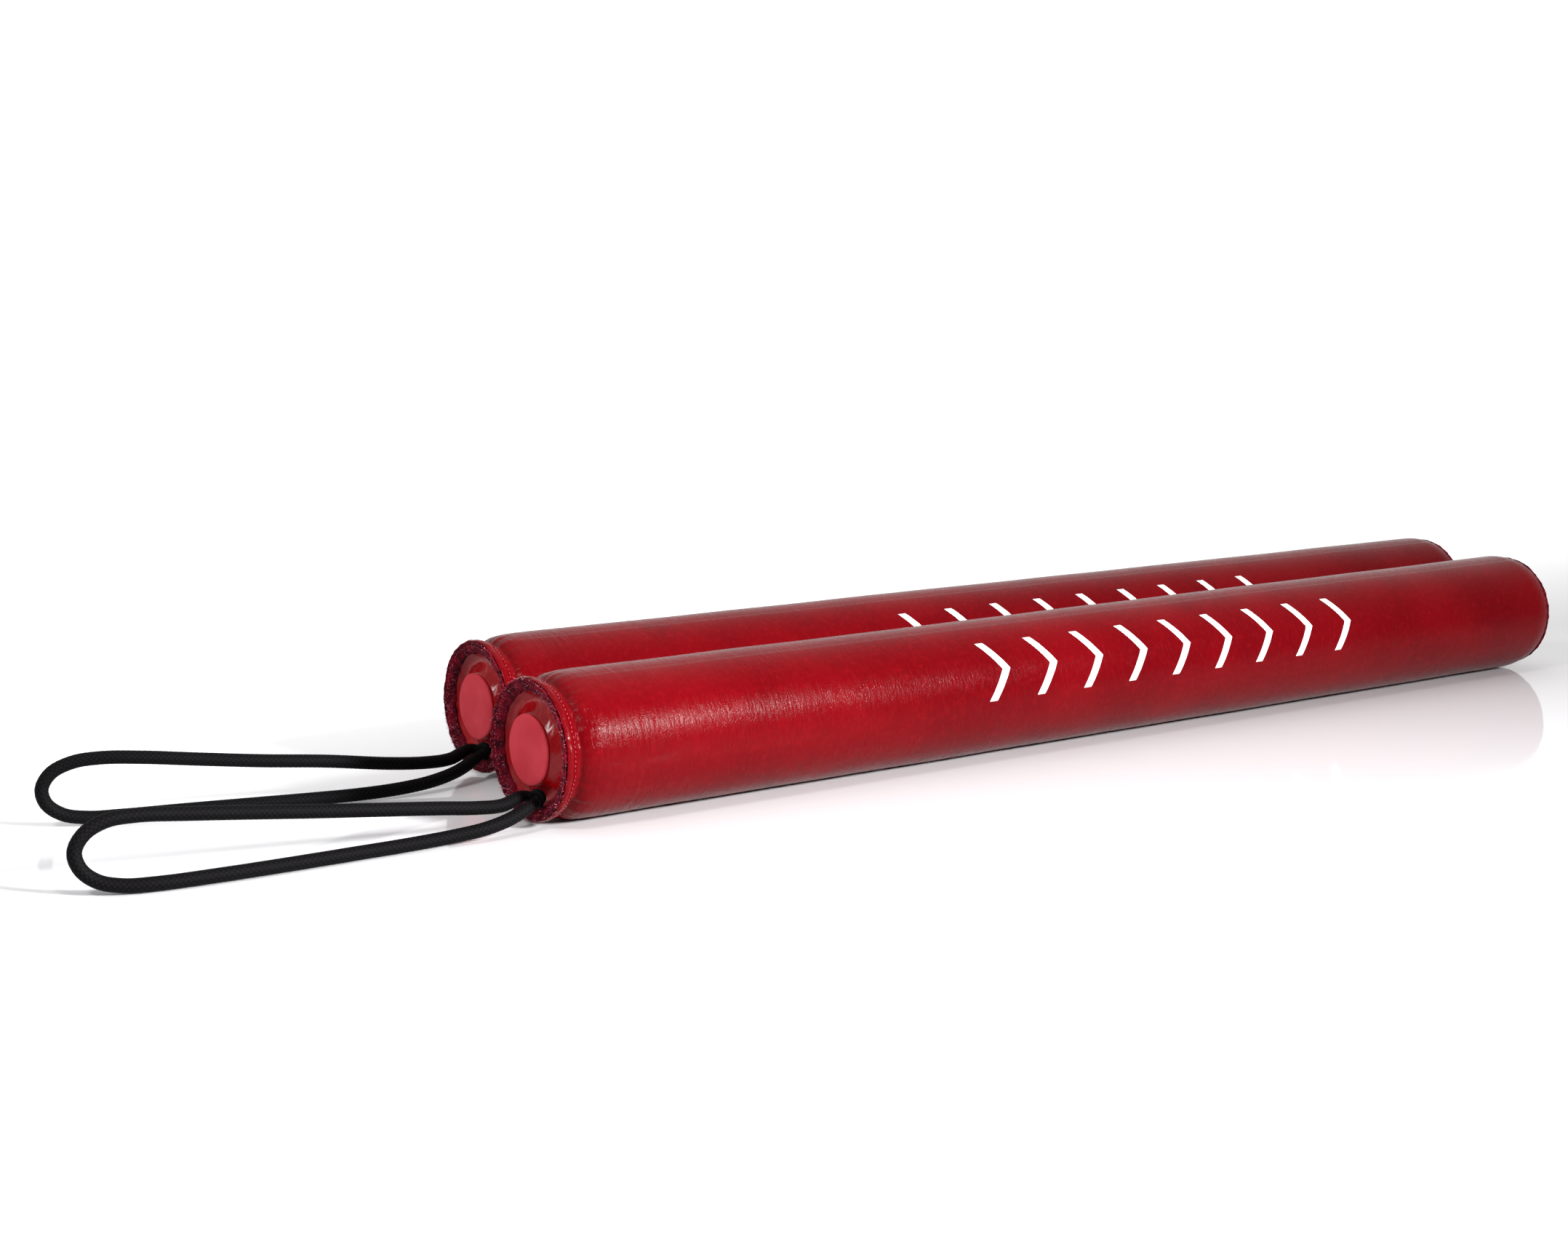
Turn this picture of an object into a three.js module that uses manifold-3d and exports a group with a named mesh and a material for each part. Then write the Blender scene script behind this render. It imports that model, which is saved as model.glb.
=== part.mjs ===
// A pair of padded training sticks with wrist loops: each a rigid tube in foam, under a sewn leather cover.
// Millimetres, +Z up. Both sticks lie along X with their wrist ends at -X, and rest on z = 0.
import * as THREE from 'three';
import * as BufferGeometryUtils from 'three/addons/utils/BufferGeometryUtils.js';
import Module from 'manifold-3d';

const wasm = await Module();
wasm.setup();

// Overall sizes of one stick
const STICK_LENGTH = 585;
const STICK_RADIUS = 28;
const GAP = 0.3;
const SIDES = 32;

// Leather
const COVER_WALL = 1.6;
const CAP_WALL = 1.5;

// Wrist end: the cover necks in, then flares to a raw-edged seam where the dished cap is sewn on
const NECK_DEPTH = 3.2;
const NECK_PLACE = 8;
const SHOULDER_LENGTH = 34;
const SEAM_STEP = 1.5;
const SEAM_PLACE = 2.4;
const DISH_DEPTH = 5.5;
const DISH_WIDTH = 6.5;
const FUNNEL_WIDTH = 7;
const DISC_RADIUS = 13;
const DISC_THICKNESS = 1.2;

// Striking end: the cover turns in round a domed cap
const TIP_ROUNDING = 15;
const TIP_DOME = 9;
const TIP_TURN_IN = 7;

// Core and padding
const TUBE_RADIUS = 12.5;
const TUBE_WALL = 3;
const TUBE_END_INSET = 20;
const PLUG_DEPTH = 25;
const PLUG_FLANGE = 2.5;

// Seam threads
const THREAD_RADIUS = 0.6;

// Wrist loop: a round cord whose two ends meet in a knot outside the cap and end behind a washer inside it
const CORD_DIAMETER = 5;
const CORD_SIDES = 8;
const CORD_STEPS = 48;
const KNOT_RADIUS = 4;
const KNOT_PLACE = -0.2;
const KNOT_HEIGHT = 11.3;
const KNOT_ASIDE = 7.4;
const KNOT_SHANK = 3.2;
const KNOT_SIDES = 16;
const WASHER_RADIUS = 4.4;
const WASHER_THICKNESS = 1;
const WASHER_BORE = 2;
const STOPPER_RADIUS = 4;
const STOPPER_LENGTH = 6;

// How the pair lies: the space between the sticks where they are closest, and the rear one's setting and turn
const PAIR_SPACE = 16.7;
const REAR_SETBACK = 27;
const REAR_TURN_DEGREES = 1.2;

// Cord routes, as points from the middle of the wrist seam's outer face on the floor: along, across, height
const FRONT_ROUTE = [
  [-5.2, -4.9, 12.3], [-15, -7.2, 10.7], [-26.1, -8.2, 11.5], [-41.6, -7.6, 13.4],
  [-63, -5.7, 15.6], [-86.7, -3.5, 18], [-110.5, -1.4, 20.6], [-132.3, 0.1, 23],
  [-148.8, 1.2, 24.6], [-159.4, 2.2, 24], [-166.7, 2.7, 20.5], [-170.3, 2.4, 15],
  [-169.1, 1.1, 9.4], [-164.3, -1, 5], [-156.8, -3.9, 3], [-145.7, -7, 2.7],
  [-123.6, -9.2, 2.7], [-98.7, -10, 2.7], [-74.4, -10.1, 2.7], [-52.9, -10.4, 2.8],
  [-36.3, -11.5, 3.5], [-25.6, -12.7, 4.6], [-15.3, -12.1, 6.4], [-5.2, -10.1, 9.5],
];
const REAR_ROUTE = [
  [-5.2, -4.9, 12.3], [-16.6, -9.6, 10.5], [-28.6, -12.3, 11], [-44.6, -13.1, 12.8],
  [-70.5, -12.3, 16.8], [-95.4, -9.6, 19.6], [-119, -5, 22.4], [-138.5, 0.2, 24.6],
  [-151.9, 5.2, 25.2], [-161.4, 9, 24], [-168.7, 11.2, 20.4], [-172, 11.8, 14.8],
  [-170.6, 11.3, 9.2], [-165.2, 10, 4.9], [-156.8, 8.1, 3], [-144.7, 5.1, 2.7],
  [-123.9, 0.6, 2.7], [-101.2, -4.9, 2.7], [-78.8, -10.4, 2.7], [-58.5, -14.8, 2.8],
  [-41.7, -17.5, 3.5], [-29, -17.7, 4.6], [-16.4, -14.7, 6.4], [-5.2, -10.1, 9.5],
];

// Finishes
const leather = () => new THREE.MeshStandardMaterial({ color: '#9a141e', roughness: 0.42, metalness: 0 });
const rawLeather = () => new THREE.MeshStandardMaterial({ color: '#5c0620', roughness: 0.95, metalness: 0 });
const paleLeather = () => new THREE.MeshStandardMaterial({ color: '#bb3641', roughness: 0.7, metalness: 0 });
const thread = () => new THREE.MeshStandardMaterial({ color: '#7a0a28', roughness: 0.8, metalness: 0 });
const cord = () => new THREE.MeshStandardMaterial({ color: '#141214', roughness: 0.85, metalness: 0 });
const foam = () => new THREE.MeshStandardMaterial({ color: '#2b2b2d', roughness: 1, metalness: 0 });
const plastic = () => new THREE.MeshStandardMaterial({ color: '#d8d8d2', roughness: 0.5, metalness: 0 });
const steel = () => new THREE.MeshStandardMaterial({ color: '#b4b6b8', roughness: 0.3, metalness: 1 });

// Sizes that follow from the ones above
const REAR_ANGLE = THREE.MathUtils.degToRad(REAR_TURN_DEGREES);
const REAR_SPACING = 2 * STICK_RADIUS + PAIR_SPACE + STICK_LENGTH * Math.sin(REAR_ANGLE);
const KNOT_DROP = STICK_RADIUS - KNOT_HEIGHT;
const COVER_INNER = STICK_RADIUS - COVER_WALL;
const FOAM_RADIUS = COVER_INNER - GAP;
const SEAM_RADIUS = STICK_RADIUS - SEAM_STEP;
const NECK_RADIUS = STICK_RADIUS - NECK_DEPTH;
const NECK_STEEP = NECK_PLACE + 4;
const NECK_GENTLE = NECK_PLACE + 10;
const NECK_STEEP_RADIUS = NECK_RADIUS + NECK_DEPTH * 0.55;
const NECK_GENTLE_RADIUS = NECK_RADIUS + NECK_DEPTH * 0.87;
const LIP_INNER = NECK_RADIUS - COVER_WALL + GAP;
const BOSS_FACE = DISC_THICKNESS + GAP;
const DISH_OUTER = SEAM_RADIUS - FUNNEL_WIDTH;
const CAP_BACK = DISH_DEPTH + CAP_WALL;
const TUBE_START = TUBE_END_INSET;
const TUBE_END = STICK_LENGTH - TUBE_END_INSET;
const TUBE_BORE = TUBE_RADIUS - TUBE_WALL;
const TIP_SEAM_PLACE = STICK_LENGTH - TIP_DOME;
const TIP_ROUND_START = TIP_SEAM_PLACE - TIP_ROUNDING;
const TIP_CAP_RADIUS = STICK_RADIUS - TIP_TURN_IN;
const TIP_HOLE_RADIUS = TIP_CAP_RADIUS + GAP;
const TIP_PAD_START = TUBE_END + PLUG_FLANGE + GAP;
const WRIST_PAD_START = CAP_BACK + GAP;
const WRIST_PAD_END = TUBE_START - PLUG_FLANGE - GAP;
const WASHER_START = CAP_BACK + GAP;
const STOPPER_START = WASHER_START + WASHER_THICKNESS + GAP;
const WRIST_THREAD_PLACE = SEAM_PLACE - GAP / 2;
const WRIST_THREAD_RADIUS = SEAM_RADIUS + GAP + THREAD_RADIUS;
const TIP_THREAD_PLACE = TIP_SEAM_PLACE + GAP + THREAD_RADIUS;
const TIP_THREAD_RADIUS = TIP_HOLE_RADIUS + THREAD_RADIUS;

// A solid of revolution about X from [along, radius] points, with one flat side facing straight down
function turned(points) {
  const flat = 1 / Math.cos(Math.PI / SIDES);
  const profile = points.map(([along, radius]) => new THREE.Vector2(radius * flat, along));
  const geometry = new THREE.LatheGeometry(profile, SIDES, Math.PI / SIDES, 2 * Math.PI);
  geometry.rotateZ(-Math.PI / 2);
  return geometry;
}

// Points of a leather edge that turns in: it leaves along X and ends pointing at the axis
function turnIn([startAlong, startRadius], [endAlong, endRadius]) {
  const points = [];
  const steps = 6;
  for (let i = 0; i <= steps; i += 1) {
    const angle = ((Math.PI / 2) * i) / steps;
    const along = startAlong + (endAlong - startAlong) * Math.sin(angle);
    points.push([along, endRadius + (startRadius - endRadius) * Math.cos(angle)]);
  }
  return points;
}

// Points of a quarter ellipse from a rim to its crown on the axis
function dome([rimAlong, rimRadius], crownAlong) {
  const points = [];
  const steps = 5;
  for (let i = 0; i <= steps; i += 1) {
    const angle = ((Math.PI / 2) * i) / steps;
    points.push([rimAlong + (crownAlong - rimAlong) * Math.sin(angle), rimRadius * Math.cos(angle)]);
  }
  points[steps][1] = 0;
  return points;
}

function toSolid(geometry) {
  const bare = geometry.clone();
  bare.deleteAttribute('normal');
  bare.deleteAttribute('uv');
  const merged = BufferGeometryUtils.mergeVertices(bare, 1e-4);
  const mesh = new wasm.Mesh({
    numProp: 3,
    vertProperties: new Float32Array(merged.attributes.position.array),
    triVerts: new Uint32Array(merged.index.array),
  });
  return new wasm.Manifold(mesh);
}

function toGeometry(solid) {
  const mesh = solid.getMesh();
  const geometry = new THREE.BufferGeometry();
  geometry.setAttribute('position', new THREE.BufferAttribute(new Float32Array(mesh.vertProperties), 3));
  geometry.setIndex(new THREE.BufferAttribute(new Uint32Array(mesh.triVerts), 1));
  geometry.computeVertexNormals();
  return geometry;
}

// A cylinder along X between two places, where the knot goes through the cap
function atKnot(radius, from, to) {
  const geometry = new THREE.CylinderGeometry(radius, radius, to - from, KNOT_SIDES);
  geometry.rotateZ(-Math.PI / 2);
  geometry.translate((from + to) / 2, -KNOT_ASIDE, -KNOT_DROP);
  return geometry;
}

// Leather tube: seam lip, neck, shoulder, straight body and the turned-in edge at the striking end
function coverGeometry() {
  const outer = [
    [SEAM_PLACE, SEAM_RADIUS],
    [SEAM_PLACE + COVER_WALL, SEAM_RADIUS],
    [NECK_PLACE - COVER_WALL, NECK_RADIUS + GAP],
    [NECK_PLACE, NECK_RADIUS],
    [NECK_STEEP, NECK_STEEP_RADIUS],
    [NECK_GENTLE, NECK_GENTLE_RADIUS],
    [SHOULDER_LENGTH, STICK_RADIUS],
  ];
  const inner = [
    [SHOULDER_LENGTH, COVER_INNER],
    [NECK_GENTLE, NECK_GENTLE_RADIUS - COVER_WALL],
    [NECK_STEEP, NECK_STEEP_RADIUS - COVER_WALL],
    [NECK_PLACE, NECK_RADIUS - COVER_WALL],
    [NECK_PLACE - COVER_WALL, LIP_INNER],
    [SEAM_PLACE, LIP_INNER],
  ];
  const tipOuter = turnIn([TIP_ROUND_START, STICK_RADIUS], [TIP_SEAM_PLACE, TIP_HOLE_RADIUS]);
  const tipInner = turnIn([TIP_ROUND_START, COVER_INNER], [TIP_SEAM_PLACE - COVER_WALL, TIP_HOLE_RADIUS]);
  return turned([...outer, ...tipOuter, ...tipInner.reverse(), ...inner, outer[0]]);
}

// Dished leather cap: flat boss in the middle, valley round it, funnel up to the rim, one hole for the cord
function wristCapGeometry() {
  const rimBack = SEAM_PLACE - GAP;
  const bossRadius = DISC_RADIUS + GAP;
  const dishInner = bossRadius + DISH_WIDTH / 2;
  const front = [
    [BOSS_FACE, 0],
    [BOSS_FACE, bossRadius],
    [DISH_DEPTH, dishInner],
    [DISH_DEPTH, DISH_OUTER],
    [0, SEAM_RADIUS - CAP_WALL],
    [0, SEAM_RADIUS],
  ];
  const back = [
    [rimBack, SEAM_RADIUS],
    [rimBack, LIP_INNER - GAP],
    [rimBack + CAP_WALL, LIP_INNER - GAP],
    [CAP_BACK, DISH_OUTER + GAP],
    [CAP_BACK, dishInner - CAP_WALL],
    [BOSS_FACE + CAP_WALL, bossRadius - CAP_WALL],
    [BOSS_FACE + CAP_WALL, 0],
  ];
  const hole = atKnot(KNOT_SHANK + GAP, -1, CAP_BACK + 1);
  return toGeometry(toSolid(turned([...front, ...back])).subtract(toSolid(hole)));
}

// Matt leather disc on the boss of the cap
function wristDiscGeometry() {
  const edge = DISC_THICKNESS / 4;
  return turned([
    [0, 0],
    [0, DISC_RADIUS - edge],
    [edge, DISC_RADIUS],
    [DISC_THICKNESS, DISC_RADIUS],
    [DISC_THICKNESS, 0],
  ]);
}

// Domed leather cap sewn into the striking end
function tipCapGeometry() {
  const outside = dome([TIP_SEAM_PLACE, TIP_CAP_RADIUS], STICK_LENGTH);
  const inside = dome([TIP_SEAM_PLACE - CAP_WALL, TIP_CAP_RADIUS], STICK_LENGTH - CAP_WALL);
  return turned([...inside.reverse(), ...outside]);
}

// Sewing thread laid round a seam: a ring of round section
function threadGeometry(along, radius) {
  const points = [];
  const steps = 4;
  for (let i = 0; i <= steps; i += 1) {
    const angle = (2 * Math.PI * i) / steps;
    points.push([along - THREAD_RADIUS * Math.cos(angle), radius + THREAD_RADIUS * Math.sin(angle)]);
  }
  points[steps] = points[0];
  return turned(points);
}

function coreTubeGeometry() {
  return turned([
    [TUBE_START, TUBE_BORE],
    [TUBE_START, TUBE_RADIUS],
    [TUBE_END, TUBE_RADIUS],
    [TUBE_END, TUBE_BORE],
    [TUBE_START, TUBE_BORE],
  ]);
}

// Plug closing one end of the tube. side is -1 at the wrist end and 1 at the striking end.
function plugGeometry(end, side) {
  const spigot = TUBE_BORE - GAP;
  const points = [
    [end + side * (GAP + PLUG_FLANGE), 0],
    [end + side * (GAP + PLUG_FLANGE), TUBE_RADIUS],
    [end + side * GAP, TUBE_RADIUS],
    [end + side * GAP, spigot],
    [end - side * PLUG_DEPTH, spigot],
    [end - side * PLUG_DEPTH, 0],
  ];
  return turned(side < 0 ? points : points.reverse());
}

function foamSleeveGeometry() {
  const bore = TUBE_RADIUS + GAP;
  const start = TUBE_START;
  const startRadius = NECK_GENTLE_RADIUS - COVER_WALL - GAP;
  const endRadius = TIP_HOLE_RADIUS;
  return turned([
    [start, bore],
    [start, startRadius],
    [SHOULDER_LENGTH, FOAM_RADIUS],
    [TIP_ROUND_START, FOAM_RADIUS],
    [TUBE_END, endRadius],
    [TUBE_END, bore],
    [start, bore],
  ]);
}

// Foam disc behind the wrist cap, with a pocket for the washer and the stopper knot
function wristPadGeometry() {
  const pad = turned([
    [WRIST_PAD_START, 0],
    [WRIST_PAD_START, NECK_RADIUS - COVER_WALL - GAP],
    [NECK_PLACE, NECK_RADIUS - COVER_WALL - GAP],
    [NECK_STEEP, NECK_STEEP_RADIUS - COVER_WALL - GAP],
    [WRIST_PAD_END - GAP, NECK_GENTLE_RADIUS - COVER_WALL - 2 * GAP],
    [WRIST_PAD_END - GAP, 0],
  ]);
  const pocketEnd = STOPPER_START + STOPPER_LENGTH + GAP;
  const pocket = atKnot(Math.max(WASHER_RADIUS, STOPPER_RADIUS) + GAP, WRIST_PAD_START - 1, pocketEnd);
  return toGeometry(toSolid(pad).subtract(toSolid(pocket)));
}

function tipPadGeometry() {
  const radius = TIP_CAP_RADIUS - GAP;
  const crown = dome([TIP_SEAM_PLACE - CAP_WALL - GAP, radius], STICK_LENGTH - CAP_WALL - GAP);
  return turned([[TIP_PAD_START, 0], [TIP_PAD_START, radius], ...crown]);
}

// A piece turned about the knot's own axis, which runs along X beside and under the stick's axis
function turnedAtKnot(points) {
  const profile = points.map(([along, radius]) => new THREE.Vector2(radius, along));
  const geometry = new THREE.LatheGeometry(profile, KNOT_SIDES);
  geometry.rotateZ(-Math.PI / 2);
  geometry.translate(0, -KNOT_ASIDE, -KNOT_DROP);
  return geometry;
}

// Knot outside the cap: a ball that the loop swings round, with a shank through the cap's hole
function knotGeometry() {
  const points = [];
  const steps = 6;
  const shankAngle = Math.PI - Math.asin(KNOT_SHANK / KNOT_RADIUS);
  for (let i = 0; i <= steps; i += 1) {
    const angle = (shankAngle * i) / steps;
    points.push([KNOT_PLACE - KNOT_RADIUS * Math.cos(angle), KNOT_RADIUS * Math.sin(angle)]);
  }
  points[0][1] = 0;
  points.push([CAP_BACK, KNOT_SHANK], [CAP_BACK, 0]);
  return turnedAtKnot(points);
}

function washerGeometry() {
  const end = WASHER_START + WASHER_THICKNESS;
  return turnedAtKnot([
    [WASHER_START, WASHER_BORE],
    [WASHER_START, WASHER_RADIUS],
    [end, WASHER_RADIUS],
    [end, WASHER_BORE],
    [WASHER_START, WASHER_BORE],
  ]);
}

// The two cord tails tied in a stopper behind the washer
function stopperGeometry() {
  const points = [];
  const steps = 6;
  for (let i = 0; i <= steps; i += 1) {
    const angle = (Math.PI * i) / steps;
    const along = STOPPER_START + (STOPPER_LENGTH / 2) * (1 - Math.cos(angle));
    points.push([along, STOPPER_RADIUS * Math.sin(angle)]);
  }
  points[0][1] = 0;
  points[steps][1] = 0;
  return turnedAtKnot(points);
}

// Round cord along a route given from the floor
function loopGeometry(route) {
  const points = route.map((point) => new THREE.Vector3(...point));
  const path = new THREE.CatmullRomCurve3(points, false, 'centripetal');
  const section = new THREE.Shape();
  for (let i = 0; i < CORD_SIDES; i += 1) {
    const angle = (2 * Math.PI * i) / CORD_SIDES;
    const place = [(CORD_DIAMETER / 2) * Math.cos(angle), (CORD_DIAMETER / 2) * Math.sin(angle)];
    if (i === 0) section.moveTo(...place);
    else section.lineTo(...place);
  }
  section.closePath();
  const geometry = new THREE.ExtrudeGeometry(section, { steps: CORD_STEPS, extrudePath: path });
  geometry.translate(0, 0, -STICK_RADIUS);
  return geometry;
}

// One whole stick, its axis on X and its wrist seam at the origin
function makeStick(side, route) {
  const stick = new THREE.Group();
  const add = (name, geometry, material) => {
    const mesh = new THREE.Mesh(geometry, material);
    mesh.name = `${side}_${name}`;
    stick.add(mesh);
  };
  add('core_tube', coreTubeGeometry(), plastic());
  add('wrist_plug', plugGeometry(TUBE_START, -1), plastic());
  add('tip_plug', plugGeometry(TUBE_END, 1), plastic());
  add('foam_sleeve', foamSleeveGeometry(), foam());
  add('wrist_pad', wristPadGeometry(), foam());
  add('tip_pad', tipPadGeometry(), foam());
  add('cover', coverGeometry(), leather());
  add('wrist_cap', wristCapGeometry(), rawLeather());
  add('wrist_disc', wristDiscGeometry(), paleLeather());
  add('tip_cap', tipCapGeometry(), leather());
  add('wrist_seam_thread', threadGeometry(WRIST_THREAD_PLACE, WRIST_THREAD_RADIUS), thread());
  add('tip_seam_thread', threadGeometry(TIP_THREAD_PLACE, TIP_THREAD_RADIUS), thread());
  add('cord_knot', knotGeometry(), cord());
  add('anchor_washer', washerGeometry(), steel());
  add('anchor_stopper', stopperGeometry(), cord());
  add('wrist_loop', loopGeometry(route), cord());
  stick.position.z = STICK_RADIUS;
  return stick;
}

// Moves the pair so that the box of the sticks without their loops stands in the middle of X and Y
function centre(pair) {
  pair.updateMatrixWorld(true);
  const box = new THREE.Box3();
  pair.traverse((object) => {
    if (object.isMesh && !object.name.endsWith('wrist_loop')) box.expandByObject(object, true);
  });
  const middle = box.getCenter(new THREE.Vector3());
  pair.position.set(-middle.x, -middle.y, 0);
}

const group = new THREE.Group();
const front = makeStick('front', FRONT_ROUTE);
const rear = makeStick('rear', REAR_ROUTE);
rear.position.x = REAR_SETBACK;
rear.position.y = REAR_SPACING;
rear.rotation.z = -REAR_ANGLE;
group.add(front, rear);
centre(group);

export default group;
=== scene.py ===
"""A pair of padded training sticks with wrist loops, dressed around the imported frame.

Each stick is a foam-padded tube in a tight red leather cover. Its wrist end is a dished leather cap
sewn on with raw edges, its striking end a domed cap, and a black braided cord makes its wrist loop.
Lengths are in metres, in the row frame: +Z up, +X from the wrist ends to the striking ends.
"""

import logging
import math
from dataclasses import dataclass, field
from enum import Enum
from typing import Any, Callable, Optional

import bmesh
import bpy
import numpy as np
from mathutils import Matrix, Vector


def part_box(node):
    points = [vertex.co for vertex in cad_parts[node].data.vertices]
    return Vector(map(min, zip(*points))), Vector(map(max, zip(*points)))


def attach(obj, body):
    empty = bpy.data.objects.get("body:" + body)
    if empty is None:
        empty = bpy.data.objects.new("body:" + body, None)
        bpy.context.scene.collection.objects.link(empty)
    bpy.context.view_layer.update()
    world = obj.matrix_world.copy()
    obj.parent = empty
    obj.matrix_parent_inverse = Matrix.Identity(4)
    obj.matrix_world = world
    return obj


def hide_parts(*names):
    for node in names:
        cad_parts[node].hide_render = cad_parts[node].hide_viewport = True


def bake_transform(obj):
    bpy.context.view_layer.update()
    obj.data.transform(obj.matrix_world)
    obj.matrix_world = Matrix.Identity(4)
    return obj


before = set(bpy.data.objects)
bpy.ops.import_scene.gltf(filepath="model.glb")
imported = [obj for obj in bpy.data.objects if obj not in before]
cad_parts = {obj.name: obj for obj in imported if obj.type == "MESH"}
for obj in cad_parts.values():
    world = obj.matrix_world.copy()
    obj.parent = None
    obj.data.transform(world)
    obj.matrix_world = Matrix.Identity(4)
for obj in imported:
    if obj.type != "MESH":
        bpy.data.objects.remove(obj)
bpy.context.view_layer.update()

LOG = logging.getLogger("training_sticks")
MM = 0.001
TURN = 2.0 * math.pi
ProfileShift = Callable[[np.ndarray, np.ndarray], tuple[Any, Any]]


class Side(Enum):
    """Which stick of the pair a piece belongs to."""

    FRONT = "front"
    REAR = "rear"


# -------------------------------------------------------------------------------------------------------
# Small tools for numbers, meshes and nodes
# -------------------------------------------------------------------------------------------------------


def linear(hex_colour: str, alpha: float = 1.0) -> tuple[float, float, float, float]:
    """Turn an sRGB hex colour to linear light.

    Args:
        hex_colour: The colour as "#rrggbb".
        alpha: The fourth value of the result.

    Returns:
        Linear red, green and blue, and alpha: c / 12.92 below 0.04045, else ((c + 0.055) / 1.055) to the
        power 2.4.
    """
    channels = [int(hex_colour[i : i + 2], 16) / 255.0 for i in (1, 3, 5)]
    light = [c / 12.92 if c <= 0.04045 else ((c + 0.055) / 1.055) ** 2.4 for c in channels]
    return (light[0], light[1], light[2], alpha)


def smooth_step(x: np.ndarray, low: float, high: float) -> np.ndarray:
    """Ease from 0 at low to 1 at high: t squared times (3 - 2t), with t clamped."""
    t = np.clip((x - low) / (high - low), 0.0, 1.0)
    return t * t * (3.0 - 2.0 * t)


def bell(x: np.ndarray, middle: float, width: float) -> np.ndarray:
    """A bell curve of height 1: e to the power of minus ((x - middle) / width) squared."""
    return np.exp(-(((x - middle) / width) ** 2))


def wrapped(angle: np.ndarray, centre: float) -> np.ndarray:
    """Signed angle from centre, between minus and plus half a turn."""
    return (angle - centre + math.pi) % TURN - math.pi


def wander(x: np.ndarray, seed: int, waves: tuple[float, ...]) -> np.ndarray:
    """A smooth irregular line: the mean of sines of x at the given frequencies, each with a seeded phase.

    Args:
        x: Where to evaluate it.
        seed: Seed of the phases.
        waves: Frequencies, in radians per unit of x.

    Returns:
        Values between -1 and 1, of x's shape.
    """
    phases = np.random.default_rng(seed).uniform(0.0, TURN, len(waves))
    return sum(np.sin(w * x + p) for w, p in zip(waves, phases)) / len(waves)


def add_node(
    tree: bpy.types.NodeTree,
    kind: str,
    settings: Optional[dict[str, Any]] = None,
    values: Optional[dict[Any, Any]] = None,
    links: Optional[dict[Any, bpy.types.NodeSocket]] = None,
) -> bpy.types.Node:
    """Add one node with its settings, input values and links.

    Args:
        tree: The node tree to add to.
        kind: The node's type name.
        settings: Properties of the node.
        values: Default values of its inputs, by name or number.
        links: The output socket that feeds each input, by the input's name or number.

    Returns:
        The new node.
    """
    node = tree.nodes.new(kind)
    for key, value in (settings or {}).items():
        setattr(node, key, value)
    for key, value in (values or {}).items():
        node.inputs[key].default_value = value
    for key, source in (links or {}).items():
        tree.links.new(source, node.inputs[key])
    return node


def grid_object(
    name: str,
    points: np.ndarray,
    uv: Optional[np.ndarray] = None,
    wrap_rows: bool = False,
    wrap_columns: bool = True,
) -> bpy.types.Object:
    """Make a mesh object from a grid of points, with quads between neighbours.

    Rows or columns that wrap join the last to the first. Points that coincide, as at a pole, are merged.
    A closed mesh whose signed volume is negative has its faces turned round.

    Args:
        name: The object's name.
        points: Positions, of shape (rows, columns, 3).
        uv: Surface coordinates, with one more row or column where the grid wraps. None leaves the map out.
        wrap_rows: Whether the last row joins the first.
        wrap_columns: Whether the last column joins the first.

    Returns:
        The linked object.
    """
    rows, columns = points.shape[:2]
    last_row = rows if wrap_rows else rows - 1
    last_column = columns if wrap_columns else columns - 1
    r, c = np.meshgrid(np.arange(last_row), np.arange(last_column), indexing="ij")
    corner_rows = np.stack([r, r, r + 1, r + 1], -1).reshape(-1, 4)
    corner_columns = np.stack([c, c + 1, c + 1, c], -1).reshape(-1, 4)
    faces = (corner_rows % rows) * columns + corner_columns % columns
    flat = points.reshape(-1, 3)
    a, b, d, e = (flat[faces[:, i]] for i in range(4))
    volume = np.einsum("ij,ij->i", a, np.cross(b, d)).sum() + np.einsum("ij,ij->i", a, np.cross(d, e)).sum()
    if volume < 0.0:
        faces, corner_rows, corner_columns = faces[:, ::-1], corner_rows[:, ::-1], corner_columns[:, ::-1]
    return mesh_object(name, flat, faces, None if uv is None else uv[corner_rows, corner_columns])


def mesh_object(
    name: str, points: np.ndarray, faces: np.ndarray, corner_uv: Optional[np.ndarray] = None
) -> bpy.types.Object:
    """Make a smooth mesh object from points and faces of one size, and merge points that coincide.

    Args:
        name: The object's name.
        points: Positions, of shape (n, 3).
        faces: Point numbers, of shape (m, corners).
        corner_uv: A surface coordinate for each face's corner, of shape (m, corners, 2).

    Returns:
        The linked object.
    """
    mesh = bpy.data.meshes.new(name)
    count, corners = faces.shape
    mesh.vertices.add(len(points))
    mesh.vertices.foreach_set("co", np.ascontiguousarray(points, np.float32).ravel())
    mesh.loops.add(count * corners)
    mesh.loops.foreach_set("vertex_index", np.ascontiguousarray(faces, np.int32).ravel())
    mesh.polygons.add(count)
    mesh.polygons.foreach_set("loop_start", np.arange(0, count * corners, corners, dtype=np.int32))
    mesh.polygons.foreach_set("loop_total", np.full(count, corners, np.int32))
    mesh.polygons.foreach_set("use_smooth", np.ones(count, bool))
    if corner_uv is not None:
        layer = mesh.uv_layers.new(name="UVMap")
        layer.data.foreach_set("uv", np.ascontiguousarray(corner_uv, np.float32).ravel())
    mesh.update(calc_edges=True)
    mesh.validate()
    weld(mesh)
    piece = bpy.data.objects.new(name, mesh)
    bpy.context.scene.collection.objects.link(piece)
    return piece


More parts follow.
